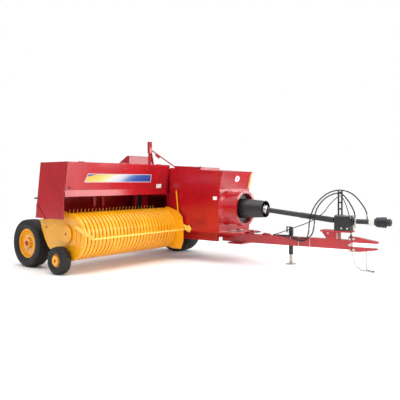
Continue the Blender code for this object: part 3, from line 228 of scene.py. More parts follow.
# %% Finishes on the frame's own pieces
FINISHES = {
    red: ["bale_case", "upper_tension_rail", "lower_tension_rail", "knotter_stack", "needle_frame",
          "end_panel", "roof_panel", "rear_panel", "feeder_deck", "hood_end_panel", "feeder_forks",
          "feeder_drive_case", "feeder_yoke", "plunger_housing", "flywheel_collar", "main_frame",
          "axle_beam", "left_axle", "twine_box", "front_hood", "knotter_shield", "top_lid",
          "twine_box_lid", "tongue_beam", "tongue_latch", "hitch_clevis", "bearing_stand"],
    yellow: ["right_rim", "left_rim", "gauge_rim", "pickup_right_plate", "pickup_left_plate",
             "pickup_cross_tube", "stripper_bands", "gauge_arm", "lift_strap", "tine_reel"],
    pale_yellow: ["wind_guard"],
    black: ["jack_sleeve", "hose_post", "shaft_shield"],
    guard_plastic: ["bell_guard", "rear_shaft_guard", "front_shaft_guard"],
    tyre_rubber: ["right_tyre", "left_tyre", "gauge_tyre"],
    hose_cover: ["hydraulic_hose_a", "hydraulic_hose_b", "wiring_harness"],
    zinc: ["coupler_a", "coupler_b", "safety_chain"],
    iron: ["gearbox", "flywheel", "tractor_coupler"],
    worn_steel: ["plunger"],
    galvanised: ["jack_leg"],
}
for finish, group in FINISHES.items():
    for name in group:
        piece = nodes[name]
        if not piece.material_slots:
            piece.data.materials.append(finish)
        for slot in piece.material_slots:
            slot.material = finish


# %% [markdown]
# ## Surfaces from arrays
# A new piece is a grid of points worked out with numpy. The three makers here carry most of the work:
# a grid of points, a profile turned round an axle, and a profile carried along a path.

# %% Mesh makers
def solid(name, points, faces, finish, body, smooth=True):
    """Points and faces to a piece that rides on a body, with its place in its mesh."""
    mesh = bpy.data.meshes.new(name)
    mesh.from_pydata([tuple(p) for p in np.asarray(points, float).tolist()], [],
        [tuple(f) for f in faces])
    mesh.materials.append(finish)
    mesh.validate()
    mesh.shade_smooth() if smooth else mesh.shade_flat()
    piece = bpy.data.objects.new(name, mesh)
    bpy.context.scene.collection.objects.link(piece)
    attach(piece, body)
    return piece


def grid_faces(rows, columns, wrap_rows=False, wrap_columns=False):
    """Quads of a grid: each joins a point, its right neighbour and the two in the next row."""
    r = np.arange(rows if wrap_rows else rows - 1)
    c = np.arange(columns if wrap_columns else columns - 1)
    a, b = np.meshgrid(r, c, indexing="ij")
    a2, b2 = (a + 1) % rows, (b + 1) % columns
    quads = np.stack([a * columns + b, a2 * columns + b, a2 * columns + b2, a * columns + b2], -1)
    return quads.reshape(-1, 4)


def outward(points, faces):
    """Turns the faces round when the solid's signed volume is negative, so that they look outwards."""
    p = np.asarray(points)
    rows = faces if isinstance(faces, list) else faces.tolist()
    volume = 0.0
    for f in rows:
        for k in range(1, len(f) - 1):
            volume += float(np.dot(p[f[0]], np.cross(p[f[k]], p[f[k + 1]])))
    return [f[::-1] for f in rows] if volume < 0 else rows


def joined(parts):
    """Several (points, faces) as one: each part's faces count on from the points before it."""
    points, faces, count = [], [], 0
    for p, f in parts:
        points.append(p)
        faces += [[i + count for i in q] for q in f]
        count += len(p)
    return np.concatenate(points), faces


def square_to(direction):
    """The direction at unit length, and two unit vectors square to it and to each other."""
    along = np.asarray(direction, float)
    along = along / np.linalg.norm(along)
    side = np.cross(along, [0.0, 0.0, 1.0]) if abs(along[2]) < 0.9 else np.array([1.0, 0.0, 0.0])
    side = side / np.linalg.norm(side)
    return along, side, np.cross(side, along)


def ring_points(profile, centre, along, turns=64):
    """A closed profile (radius, along) turned round a line: centre + along*a + radius*(cos, sin)."""
    along, side, up = square_to(along)
    profile = np.asarray(profile, float)
    angle = np.linspace(0.0, 2 * np.pi, turns, endpoint=False)
    circle = np.cos(angle)[:, None] * side + np.sin(angle)[:, None] * up
    return (np.asarray(centre, float) + profile[None, :, 1, None] * along + profile[None, :, 0,
        None] * circle[:, None, :])


def turned(name, profile, centre, along, finish, body, turns=64):
    """A closed ring-shaped solid of revolution."""
    points = ring_points(profile, centre, along, turns)
    rows, columns = points.shape[:2]
    flat = points.reshape(-1, 3)
    faces = outward(flat, grid_faces(rows, columns, True, True))
    piece = solid(name, flat, faces, finish, body)
    piece.data.set_sharp_from_angle(angle=math.radians(32))
    return piece


def frames(path):
    """Tangent, side and up at each point of a path, carried along without twist."""
    path = np.asarray(path, float)
    tangent = np.gradient(path, axis=0)
    tangent /= np.linalg.norm(tangent, axis=1)[:, None]
    side = np.cross(tangent[0], [0.0, 0.0, 1.0])
    if np.linalg.norm(side) < 1e-3:
        side = np.cross(tangent[0], [0.0, 1.0, 0.0])
    sides = []
    for t in tangent:
        side = side - t * np.dot(side, t)
        side = side / np.linalg.norm(side)
        sides.append(side)
    sides = np.array(sides)
    return tangent, sides, np.cross(sides, tangent)


def tube_arrays(path, radius, around, closed):
    """A round bar along a path: each point is the path + radius*(cos*side + sin*up)."""
    path = np.asarray(path, float)
    _, side, up = frames(path)
    angle = np.linspace(0.0, 2 * np.pi, around, endpoint=False)
    points = (path[:, None, :] + radius * (np.cos(angle)[None, :, None] * side[:, None,
        :] + np.sin(angle)[None, :, None] * up[:, None, :]))
    points = points.reshape(-1, 3)
    faces = grid_faces(len(path), around, closed, True).tolist()
    if not closed:
        faces.append(list(range(around)))
        faces.append([(len(path) - 1) * around + i for i in range(around)][::-1])
    return points, outward(points, faces)


def tubes(name, paths, radius, finish, body, around=10, closed=False):
    """Several round bars in one piece."""
    points, faces = joined([tube_arrays(path, radius, around, closed) for path in paths])
    piece = solid(name, points, faces, finish, body)
    piece.data.set_sharp_from_angle(angle=math.radians(50))
    return piece


def plate(name, corners, thick, finish, body, bevel=0.0):
    """A flat plate: an outline of points, given a thickness along its normal."""
    corners = np.asarray(corners, float)
    normal = np.cross(corners[1] - corners[0], corners[2] - corners[1])
    normal /= np.linalg.norm(normal)
    n = len(corners)
    points = np.concatenate([corners, corners + normal * thick])
    faces = [list(range(n))[::-1], list(range(n, 2 * n))]
    faces += [[i, (i + 1) % n, n + (i + 1) % n, n + i] for i in range(n)]
    piece = solid(name, points, outward(points, faces), finish, body, False)
    if bevel:
        soft = piece.modifiers.new("edge", "BEVEL")
        soft.width, soft.segments = bevel, 2
    return piece


def box_corners(low, high):
    x0, y0, z0 = low
    x1, y1, z1 = high
    return np.array([[x, y, z] for x in (x0, x1) for y in (y0, y1) for z in (z0, z1)])


BOX_FACES = [[0, 1, 3, 2], [4, 6, 7, 5], [0, 4, 5, 1], [2, 3, 7, 6], [0, 2, 6, 4], [1, 5, 7, 3]]


def blocks(name, boxes, finish, body, place=machine, bevel=0.002):
    """Several square bars in one piece, each (low corner, high corner) in its own measures."""
    corners = [place(box_corners(low, high)) for low, high in boxes]
    points, faces = joined([(p, outward(p, BOX_FACES)) for p in corners])
    piece = solid(name, points, faces, finish, body, False)
    soft = piece.modifiers.new("edge", "BEVEL")
    soft.width, soft.segments = bevel, 2
    return piece


# %% [markdown]
# ## Hoses, harness and chain
# Two hydraulic hoses and a lighting harness leave the drawbar, loop over the hose post and hang with
# their ends parked at the shaft shield. Each is a real length of stiff rubber, so it is a curve through
# the route's own points. The safety chain hangs from the hitch to the ground and back.

# %% Routes
TONGUE_BOTTOM, TONGUE_TOP = 0.295, 0.425
GAP = 0.0003
HITCH_START = 1.69 + GAP
HOSE_RADIUS, HARNESS_RADIUS, CHAIN_RADIUS = 0.009, 0.006, 0.009
BED = TONGUE_TOP + GAP + HOSE_RADIUS
ROUTES = {
    "hydraulic_hose_a": (HOSE_RADIUS, 44, [
        (0.56, -0.022, BED), (0.66, -0.048, BED + 0.004), (0.80, -0.062, 0.42), (1.00, -0.063, 0.375),
        (1.10, -0.100, 0.41), (1.16, -0.165, 0.52), (1.19, -0.195, 0.70), (1.26, -0.175, 0.90),
        (1.40, -0.10, 1.06), (1.56, 0.012, 1.1125), (1.72, 0.080, 1.05), (1.86, 0.100, 0.88),
        (1.905, 0.100, 0.77), (1.905, 0.100, 0.75), (1.905, 0.100, 0.73)]),
    "hydraulic_hose_b": (HOSE_RADIUS, 44, [
        (0.58, 0.006, BED), (0.70, -0.022, BED + 0.002), (0.84, -0.060, BED + 0.008),
        (0.92, -0.065, 0.425), (1.00, -0.065, 0.410), (1.12, -0.070, 0.425), (1.20, -0.12, 0.50),
        (1.255, -0.20, 0.64), (1.27, -0.225, 0.76), (1.32, -0.205, 0.90), (1.42, -0.14, 1.02),
        (1.55, -0.0235, 1.072), (1.68, -0.115, 1.00), (1.78, -0.125, 0.84), (1.80, -0.125, 0.73),
        (1.80, -0.125, 0.71), (1.80, -0.125, 0.69)]),
    "wiring_harness": (HARNESS_RADIUS, 32, [
        (0.54, 0.036, TONGUE_TOP + GAP + HARNESS_RADIUS), (0.68, -0.02, 0.475), (0.95, -0.13, 0.575),
        (1.20, -0.265, 0.665), (1.30, -0.262, 0.73), (1.38, -0.18, 0.80), (1.44, -0.13, 0.90),
        (1.52, -0.06, 1.00), (1.58, -0.028, 1.028), (1.66, -0.08, 0.92), (1.72, -0.105, 0.74),
        (1.74, -0.108, 0.60), (1.74, -0.108, 0.52)]),
    "safety_chain": (CHAIN_RADIUS, 40, [
        (HITCH_START + 0.045, 0.0, TONGUE_BOTTOM - 0.026), (HITCH_START + 0.05, 0.0, 0.17),
        (HITCH_START + 0.09, 0.01, 0.07), (HITCH_START + 0.16, 0.03, 0.016),
        (HITCH_START + 0.25, 0.06, 0.012), (HITCH_START + 0.33, 0.02, 0.012),
        (HITCH_START + 0.29, -0.03, 0.014), (HITCH_START + 0.235, -0.02, 0.05),
        (HITCH_START + 0.225, 0.0, 0.14), (HITCH_START + 0.225, 0.0, TONGUE_BOTTOM - 0.0135)]),
}


def route(points, count):
    """Evenly stepped points on the Catmull-Rom curve through a route's own points."""
    p = np.asarray(points, float)
    last = len(p) - 1
    t = np.linspace(0.0, last, count + 1)
    k = np.minimum(t.astype(int), last - 1)
    f = (t - k)[:, None]
    p0, p1, p2, p3 = p[np.maximum(k - 1, 0)], p[k], p[k + 1], p[np.minimum(k + 2, last)]
    return 0.5 * (2 * p1 + (p2 - p0) * f + (2 * p0 - 5 * p1 + 4 * p2 - p3) * f ** 2
        + (3 * p1 - p0 - 3 * p2 + p3) * f ** 3)


LINES = {name: tongue(route(points, count)) for name, (_, count, points) in ROUTES.items()}


# %% Hoses and harness
def hose(name, finish):
    """A hose is a curve with a round bevel, along the same points as its solid in the frame."""
    radius = ROUTES[name][0]
    curve = bpy.data.curves.new(name + "_line", "CURVE")
    curve.dimensions = "3D"
    curve.bevel_depth, curve.bevel_resolution = radius, 4
    curve.use_fill_caps = True
    spline = curve.splines.new("POLY")
    line = LINES[name]
    spline.points.add(len(line) - 1)
    spline.points.foreach_set("co", np.c_[line, np.ones(len(line))].ravel())
    curve.materials.append(finish)
    piece = bpy.data.objects.new(name + "_line", curve)
    bpy.context.scene.collection.objects.link(piece)
    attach(piece, "tongue")
    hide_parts(name)
    return piece


def cuff(name, line, at, radius, width, finish):
    """A short sleeve round a hose at a share of its length, such as a cable tie."""
    steps = np.r_[0.0, np.cumsum(np.linalg.norm(np.diff(line, axis=0), axis=1))]
    want = at * steps[-1] + np.linspace(-width / 2, width / 2, 3)
    path = np.stack([np.interp(want, steps, line[:, i]) for i in range(3)], 1)
    return tubes(name, [path], radius, finish, "tongue", 14)


plug_top = LINES["wiring_harness"][-1]
harness_plug = turned("harness_plug", [(0.0005, 0.004), (0.0078, 0.004), (0.0085, -0.01),
    (0.0135, -0.016), (0.0135, -0.052), (0.0115, -0.056), (0.0005, -0.056)], plug_top, (0, 0, 1),
    guard_plastic, "tongue", 20)
ties_a = [cuff(f"hose_a_tie_{i}", LINES["hydraulic_hose_a"], at, 0.0103, 0.006, tie_nylon) for i,
    at in enumerate((0.03, 0.14, 0.36, 0.76))]
ties_b = [cuff(f"hose_b_tie_{i}", LINES["hydraulic_hose_b"], at, 0.0103, 0.006, tie_nylon) for i,
    at in enumerate((0.16, 0.42))]
ends = [cuff("hose_a_ferrule", LINES["hydraulic_hose_a"], 0.985, 0.0115, 0.045, zinc),
    cuff("hose_b_ferrule", LINES["hydraulic_hose_b"], 0.985, 0.0115, 0.045, zinc)]
hose("hydraulic_hose_a", hose_cover)
hose("hydraulic_hose_b", hose_cover)
hose("wiring_harness", hose_cover)

# %% [markdown]
# The chain is real links: a stadium-shaped loop of 7 mm wire, each turned a quarter from the last.

# %% Chain
LINK_PITCH, LINK_WIRE = 0.030, 0.0036
line = LINES["safety_chain"]
steps = np.r_[0.0, np.cumsum(np.linalg.norm(np.diff(line, axis=0), axis=1))]
count = int(steps[-1] // LINK_PITCH)
centres = (np.arange(count) + 0.5) * steps[-1] / count
middle = np.stack([np.interp(centres, steps, line[:, i]) for i in range(3)], 1)
tangent, side, up = frames(middle)
half_long, half_wide = 0.0150, 0.0078
angle = np.linspace(0, 2 * np.pi, 16, endpoint=False)
loop_u = np.sign(np.cos(angle)) * (half_long - half_wide) + half_wide * np.cos(angle)
loop_v = half_wide * np.sin(angle)
links = []
for i in range(count):
    across = side[i] if i % 2 else up[i]
    links.append(middle[i] + loop_u[:, None] * tangent[i] + loop_v[:, None] * across)


def closed_wire(paths, radius, around):
    """Closed loops of wire: every point is the loop + radius*(cos*outwards + sin*normal)."""
    parts = []
    for path in paths:
        centre = path.mean(0)
        tangent = np.roll(path, -1, 0) - np.roll(path, 1, 0)
        tangent /= np.linalg.norm(tangent, axis=1)[:, None]
        out = path - centre
        normal = np.cross(tangent[0], out[0])
        normal /= np.linalg.norm(normal)
        out = np.cross(normal, tangent)
        turn = np.linspace(0, 2 * np.pi, around, endpoint=False)
        p = (path[:, None] + radius * (np.cos(turn)[None, :, None] * out[:, None] + np.sin(turn)[None, :,
            None] * normal[None, None]))
        p = p.reshape(-1, 3)
        parts.append((p, outward(p - centre, grid_faces(len(path), around, True, True))))
    return joined(parts)


chain_points, chain_faces = closed_wire(links, LINK_WIRE, 8)
chain_points[:, 2] = np.maximum(chain_points[:, 2], 0.0006)
chain = solid("safety_chain_links", chain_points, chain_faces, chain_steel, "tongue")
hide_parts("safety_chain")

# %% [markdown]
# ## Tyres
# The right wheel carries a narrow ribbed implement tyre, the left one a wide flotation tyre, and the
# gauge wheel a small plain one. A tyre is a profile turned round its axle: ribs are grooves in the
# profile, and the shoulder notches are a square wave in the angle.

# %% Tyres
# each hub's place; its height is the tyre's radius
RIGHT_HUB, LEFT_HUB, GAUGE_HUB = (0.0, 0.0, 0.343), (0.55, 2.61, 0.394), (0.844, -0.135, 0.185)
BEAD, GAUGE_BEAD = 0.21, 0.085


def tyre(name, node, body, hub, width, rim, ribs, notches, depth):
    """Profile points (radius, across); the tread drops by depth in each groove and each shoulder notch."""
    radius = hub[2]
    half = width / 2
    waist = (rim + radius) / 2
    wall = [(rim, -0.70), (rim + 0.008, -0.84), (rim + 0.020, -0.90), (rim + 0.026, -0.915),
        (waist - 0.01, -0.985), (waist, -0.999), (waist + 0.01, -0.985), (radius - 0.052, -0.965),
        (radius - 0.046, -0.98), (radius - 0.032, -0.955), (radius - 0.016, -0.90)]
    crown = np.linspace(-0.80, 0.80, 4 * ribs + 1)
    tread = []
    for k, t in enumerate(crown):
        height = radius - 0.006 * (t / 0.8) ** 2
        tread.append((height - (depth if k % 4 == 2 else 0.0), t))
        if k % 4 == 1:
            tread.append((height, t + 0.12 / ribs))
            tread.append((height - depth, t + 0.20 / ribs))
        if k % 4 == 2:
            tread.append((height - depth, t + 0.20 / ribs))
            tread.append((height, t + 0.28 / ribs))
    profile = np.array(wall + tread + [(r, -t) for r, t in wall[::-1]])
    shoulder = (np.abs(profile[:, 1]) > 0.62) & (profile[:, 0] > radius - 0.05)
    profile[:, 1] *= half
    pitch = 2 * np.pi / notches
    marks = np.array([0.0, 0.06, 0.40, 0.46, 0.73])
    angle = (np.arange(notches)[:, None] * pitch + marks[None] * pitch).ravel()
    notch = np.tile([0.0, 1.0, 1.0, 0.0, 0.0], notches)
    r = profile[None, :, 0] - depth * 0.8 * notch[:, None] * shoulder[None]
    centre = machine(hub)
    points = np.stack([centre[0] + r * np.cos(angle)[:, None],
        centre[1] + np.broadcast_to(profile[None, :, 1], r.shape),
        centre[2] + r * np.sin(angle)[:, None]], -1)
    flat = points.reshape(-1, 3)
    faces = outward(flat - centre, grid_faces(len(angle), len(profile), True, True))
    piece = solid(name, flat, faces, tyre_rubber, body)
    piece.data.set_sharp_from_angle(angle=math.radians(38))
    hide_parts(node)


tyre("right_tyre_tread", "right_tyre", "right_wheel", RIGHT_HUB, 0.22, BEAD, 5, 44, 0.010)
tyre("left_tyre_tread", "left_tyre", "left_wheel", LEFT_HUB, 0.34, BEAD, 7, 52, 0.011)
tyre("gauge_tyre_tread", "gauge_tyre", "gauge_wheel", GAUGE_HUB, 0.15, GAUGE_BEAD, 3, 36, 0.004)


# %% [markdown]
# ## Wheel centres
# Pressed steel discs, dished, with a rolled flange at the bead. Five nuts hold each road wheel to its
# hub, and a cap covers the bearing.

# %% Rims, nuts and caps
def rim(name, node, body, hub_place, rim_radius, half, face, outer, nut_circle, nuts, cap_finish, cap):
    """Two curved skins 10 mm apart from hub to flange; outer is -1 where the outside faces right, else 1."""
    x, y, z = hub_place
    seat = rim_radius - 2 * GAP
    bore = 0.0235
    hub = bore + 0.045
    swing = np.linspace(0.0, 1.0, 9)
    radii = hub + (seat - 0.020 - hub) * swing
    bulge = 0.5 - 0.5 * np.cos(swing * np.pi)
    skin = face + outer * 0.016 * np.sin(swing * np.pi) * (1 - 0.4 * bulge)
    front = [(r, s + outer * 0.005) for r, s in zip(radii, skin)]
    back = [(r, s - outer * 0.005) for r, s in zip(radii, skin)]
    edge = half * 0.70
    flange = [(seat - 0.016, outer * (edge - 0.020)), (seat - 0.010, outer * (edge - 0.004)),
        (seat - 0.004, outer * edge), (seat, outer * edge)]
    profile = ([(bore, face - outer * 0.05), (bore, face + outer * 0.05),
        (hub - 0.006, face + outer * 0.05), (hub, face + outer * 0.044)] + front + flange
        + [(r, -a) for r, a in flange[::-1]] + back[::-1] + [(hub, face - outer * 0.05)])
    piece = turned(name, profile, machine(hub_place), (0, 1, 0), yellow, body, 72)
    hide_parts(node)
    if nuts:
        at = np.linspace(0, 2 * np.pi, nuts, endpoint=False) + 0.3
        spots = np.stack([x + nut_circle * np.cos(at), np.full(nuts, y + face + outer * 0.014),
            z + nut_circle * np.sin(at)], 1)
        bolts(name + "_nuts", spots, (0, outer, 0), 0.012, 0.014, zinc, body)
    if cap:
        dome = [(0.0005, 0.070), (cap * 0.62, 0.068), (cap * 0.92, 0.058), (cap, 0.048), (cap, 0.02),
            (0.0005, 0.02)]
        turned(name + "_cap", [(r, face * outer + a) for r, a in dome], machine(hub_place), (0, outer, 0),
            cap_finish, body, 40)


def bolts(name, spots, normal, radius, height, finish, body, place=machine):
    """Hexagon heads on round washers, raised along the normal from each spot."""
    spots = place(spots)
    normal = np.asarray(normal, float)
    if place is tongue:
        normal = tongue(np.stack([normal, np.zeros(3)]))
        normal = normal[0] - normal[1]
    normal, side, up = square_to(normal)
    layers = [(12, radius * 1.45, 0.0, height * 0.22), (6, radius, height * 0.2, height)]
    parts = []
    for spot in spots:
        for corners, r, low, high in layers:
            a = np.linspace(0, 2 * np.pi, corners, endpoint=False) + 0.2
            ring = np.cos(a)[:, None] * side - np.sin(a)[:, None] * up
            p = np.concatenate([spot + r * ring + low * normal,
                spot + r * ring + (high - 0.15 * r) * normal, spot + 0.86 * r * ring + high * normal])
            f = grid_faces(3, corners, False, True).tolist()
            f += [list(range(corners)), list(range(2 * corners, 3 * corners))[::-1]]
            parts.append((p, outward(p - spot, f)))
    points, faces = joined(parts)
    return solid(name, points, faces, finish, body, False)


rim("right_wheel_disc", "right_rim", "right_wheel", RIGHT_HUB, BEAD, 0.11, -0.035, -1, 0.095, 5, red,
    0.040)
rim("left_wheel_disc", "left_rim", "left_wheel", LEFT_HUB, BEAD, 0.17, 0.06, 1, 0.095, 5, red, 0.040)
rim("gauge_wheel_disc", "gauge_rim", "gauge_wheel", GAUGE_HUB, GAUGE_BEAD, 0.075, -0.02, -1, 0, 0, yellow,
    0.0)

# %% [markdown]
# ## The pickup
# Twenty-eight sheet-steel bands wrap the reel. Each is pressed into a channel, so that its edges are stiff
# and its face is rounded; the spring tines come out through the slots between them. The band here is a
# channel section carried along the band's own curve.

# %% Bands
BAND_CENTRE, BAND_RADIUS, BAND_COUNT, BAND_WIDTH = (0.90, 0.49), 0.32, 28, 0.047
PICKUP_RIGHT, PICKUP_LEFT, PLATE_THICK = -0.04, 1.80, 0.005
BAND_PITCH = (PICKUP_LEFT - PICKUP_RIGHT - 2 * PLATE_THICK - 0.03) / BAND_COUNT
FIRST_SLOT = PICKUP_RIGHT + PLATE_THICK + 0.015
arc = np.radians(np.linspace(128.0, -141.1, 46))
band_line = np.stack([BAND_CENTRE[0] + BAND_RADIUS * np.cos(arc),
    BAND_CENTRE[1] + BAND_RADIUS * np.sin(arc)], 1)
band_line = np.concatenate([[[0.588, 0.716]], band_line, [[0.630, 0.274]]])
inward = np.array(BAND_CENTRE) - band_line
inward /= np.linalg.norm(inward, axis=1)[:, None]
inward[0] = (0.22, -0.97)
half = BAND_WIDTH / 2
section = np.array([(-half, 0.020), (-half, 0.006), (-half + 0.002, 0.0022), (-half + 0.006, 0.0004),
    (half - 0.006, 0.0004), (half - 0.002, 0.0022), (half, 0.006), (half, 0.020), (half - 0.0025, 0.020),
    (half - 0.0035, 0.005), (-half + 0.0035, 0.005), (-half + 0.0025, 0.020)])
# a narrow band closes each end, between the last slot and the side plate
spots = [(FIRST_SLOT + BAND_PITCH * (k + 0.5), 1.0) for k in range(BAND_COUNT)]
spots += [(PICKUP_RIGHT + PLATE_THICK + 0.0085, 0.32), (PICKUP_LEFT - PLATE_THICK - 0.0085, 0.32)]
rows, parts = len(band_line), []
for across, share in spots:
    p = np.empty((rows, len(section), 3))
    p[:, :, 0] = band_line[:, None, 0] + section[None, :, 1] * inward[:, None, 0]
    p[:, :, 2] = band_line[:, None, 1] + section[None, :, 1] * inward[:, None, 1]
    p[:, :, 1] = across + section[None, :, 0] * share
    f = grid_faces(rows, len(section), False, True).tolist()
    f += [list(range(len(section))), [(rows - 1) * len(section) + i for i in range(len(section))][::-1]]
    p = p.reshape(-1, 3)
    parts.append((p, outward(p - p.mean(0), f)))
points, faces = joined(parts)
bands = solid("pickup_bands", machine(points), faces, yellow, "pickup")
bands.data.set_sharp_from_angle(angle=math.radians(40))
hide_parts("stripper_bands")
NEAR_PLATE, FAR_PLATE = PICKUP_RIGHT + PLATE_THICK, PICKUP_LEFT - PLATE_THICK
side0, side1 = NEAR_PLATE + GAP, FAR_PLATE - GAP
blocks("band_strips", [((0.580, side0, 0.700), (0.592, side1, 0.722)),
    ((0.618, side0, 0.262), (0.637, side1, 0.282))], yellow, "pickup")

# %% [markdown]
# The reel has four bars round a drum. Each bar carries double tines of 8 mm spring wire: two legs
# joined by coils round the bar, so that a leg can give when it meets a stone. One row stands up through
# the bands at the top.

# %% Reel and tines
REEL, BAR_CIRCLE, TINE_REACH, TINE_WIRE = np.array([0.885, 0.0, 0.53]), 0.20, 0.3245, 0.0040
ROW_ANGLE = math.radians(102)
legs, coils, bars = [], [], []
for row in range(4):
    a = ROW_ANGLE + row * math.pi / 2

    def at(radius, turn):
        return REEL + radius * np.array([math.cos(a + turn), 0.0, math.sin(a + turn)])
    bar = at(BAR_CIRCLE, 0.0)
    bars.append([bar * (1, 0, 1) + (0, across, 0) for across in (side0 + 0.008, 0.9, side1 - 0.008)])
    shape = [at(BAR_CIRCLE + 0.016, 0.0), at(0.245, 0.01), at(0.280, 0.0), at(0.305, -0.03),
        at(TINE_REACH, -0.075)]
    for slot in range(1, BAND_COUNT - 1, 2):
        for k in (slot, slot + 1):
            y = FIRST_SLOT + k * BAND_PITCH
            legs.append(np.array([p + (0.0, y, 0.0) for p in shape]))
            turn = np.linspace(0.0, 3 * 2 * math.pi, 28)
            step = (0.5 - (k == slot)) * -0.022 * np.linspace(0.0, 1.0, 28)
            coils.append(np.stack([bar[0] + 0.0165 * np.cos(turn + a), y + step,
                bar[2] + 0.0165 * np.sin(turn + a)], 1))
# the drum's yellow is darkened as painted shade: it stands for the shadow inside the pickup, seen through
# the slots between the bands
drum_painted_shade = enamel("shaded_yellow_enamel", "#8F5A08", "#A86C0E", (0.45, 0.6), 0.0)
tines = tubes("reel_tines", [machine(p) for p in legs], TINE_WIRE, pale_yellow, "reel", 6)
springs = tubes("reel_tine_coils", [machine(p) for p in coils], TINE_WIRE, zinc, "reel", 5)
bar_piece = tubes("reel_bars", [machine(p) for p in bars], 0.013, yellow, "reel", 12)
axle = [REEL + (0, across, 0) for across in (PICKUP_RIGHT - 0.012, 0.9, PICKUP_LEFT + 0.012)]
shaft = tubes("reel_shaft", [machine(axle)], 0.02, steel, "reel", 24)
for number, y in enumerate((NEAR_PLATE + 0.004, FAR_PLATE - 0.010)):
    disc = turned(f"reel_disc_{number}", [(0.0201, 0.0), (0.228, 0.0), (0.230, 0.003), (0.228, 0.006),
        (0.0201, 0.006)], machine(REEL + (0, y, 0)), (0, 1, 0), yellow, "reel", 48)
    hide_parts("tine_reel")
DRUM_RADIUS, DRUM_START, DRUM_LENGTH = 0.168, NEAR_PLATE + 0.025, 1.780
drum = turned("reel_drum", [(0.0202, 0.0), (DRUM_RADIUS - 0.003, 0.0), (DRUM_RADIUS, 0.004),
    (DRUM_RADIUS, DRUM_LENGTH - 0.004), (DRUM_RADIUS - 0.003, DRUM_LENGTH), (0.0202, DRUM_LENGTH)],
    machine(REEL + (0, DRUM_START, 0)), (0, 1, 0), drum_painted_shade, "reel", 48)
for number, y in enumerate((NEAR_PLATE + 0.0005, FAR_PLATE - 0.0028)):
    turned(f"band_end_ring_{number}", [(0.075, 0.0), (0.310, 0.0), (0.310, 0.0023), (0.075, 0.0023)],
        machine((BAND_CENTRE[0], y, BAND_CENTRE[1])), (0, 1, 0), yellow, "pickup", 56)
for piece in (tines, springs, bar_piece, shaft, drum):
    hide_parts("tine_reel")

# %% Pickup side plates: bolts, ribs and the cam cover
bolts("near_plate_bolts", [(0.36, PICKUP_RIGHT, 0.655), (0.56, PICKUP_RIGHT, 0.40),
    (0.80, PICKUP_RIGHT, 0.745), (1.04, PICKUP_RIGHT, 0.68), (0.62, PICKUP_RIGHT, 0.655)], (0, -1, 0),
    0.010, 0.010, zinc, "pickup")
blocks("near_plate_ribs", [((1.085, PICKUP_RIGHT - 0.012, 0.30), (1.092, PICKUP_RIGHT, 0.66)),
    ((0.70, PICKUP_RIGHT - 0.010, 0.305), (0.98, PICKUP_RIGHT, 0.312))], yellow, "pickup")
turned("cam_cover", [(0.0205, 0.004), (0.11, 0.004), (0.118, 0.0), (0.122, -0.006), (0.122, -0.012),
    (0.0205, -0.012)], machine(REEL + (0, PICKUP_RIGHT - 0.0125, 0)), (0, 1, 0), yellow, "pickup", 48)
bolts("far_plate_bolts", [(x, PICKUP_LEFT + GAP, z) for x, z in ((1.20, 0.735), (1.30, 0.62),
    (1.31, 0.34), (1.10, 0.22))], (0, 1, 0), 0.009, 0.009, zinc, "pickup")


# %% [markdown]
# ## Hood trim
# The hood is one folded sheet. A pressed line runs across it above the lower fold, a label strip is stuck
# on the upper face, and screws hold its ends. The label has no words: a warm left end with a dark blue
# corner, a silver middle and a blue right end.

# %% Points on the hood's sloping face
HOOD_FACE, HOOD_FOLD, HOOD_TOP = 0.973, 1.117, 1.497
HOOD_LEAN, TUCK_SLOPE = 0.060, 0.1163


def on_hood(y, z, lift=0.0):
    """Point on the hood's face: it leans forwards up to its top edge and tucks under below its fold."""
    slope = HOOD_LEAN / (HOOD_TOP - HOOD_FOLD)
    x = HOOD_FACE + (z - HOOD_FOLD) * (slope if z > HOOD_FOLD else TUCK_SLOPE)
    n = np.array([1.0, 0.0, -slope]) / math.hypot(1.0, slope)
    return np.array([x, y, z]) + n * lift


def hood_patch(name, y0, y1, z0, z1, lift, thick, finish, cut_corner=0.0):
    """A thin sheet on the hood's face, with UV running 0 to 1 across and up."""
    columns, rows = 25, 7
    u, v = np.meshgrid(np.linspace(0, 1, columns), np.linspace(0, 1, rows))
    lean = cut_corner * v
    flat = np.array([on_hood(y0 + (y1 - y0) * a + lean.ravel()[i] * (1 - a), z0 + (z1 - z0) * b,
        lift) for i, (a, b) in enumerate(zip(u.ravel(), v.ravel()))])
    back = np.array([p - (thick, 0, 0) for p in flat])
    n = rows * columns
    front_faces = grid_faces(rows, columns).tolist()
    rim_ids = (list(range(columns)) + [r * columns + columns - 1 for r in range(1, rows)]
        + [(rows - 1) * columns + c for c in range(columns - 2, -1, -1)]
        + [r * columns for r in range(rows - 2, 0, -1)])
    faces = front_faces + [[i + n for i in f][::-1] for f in front_faces]
    faces += [[a + n, b + n, b, a] for a, b in zip(rim_ids, rim_ids[1:] + rim_ids[:1])]
    points = machine(np.concatenate([flat, back]))
    piece = solid(name, points, outward(points - points.mean(0), faces), finish, "hood", False)
    layer = piece.data.uv_layers.new(name="label")
    uv = np.concatenate([np.stack([u.ravel(), v.ravel()], 1)] * 2)
    loops = np.empty(len(piece.data.loops), int)
    piece.data.loops.foreach_get("vertex_index", loops)
    layer.data.foreach_set("uv", uv[loops].ravel())
    return piece


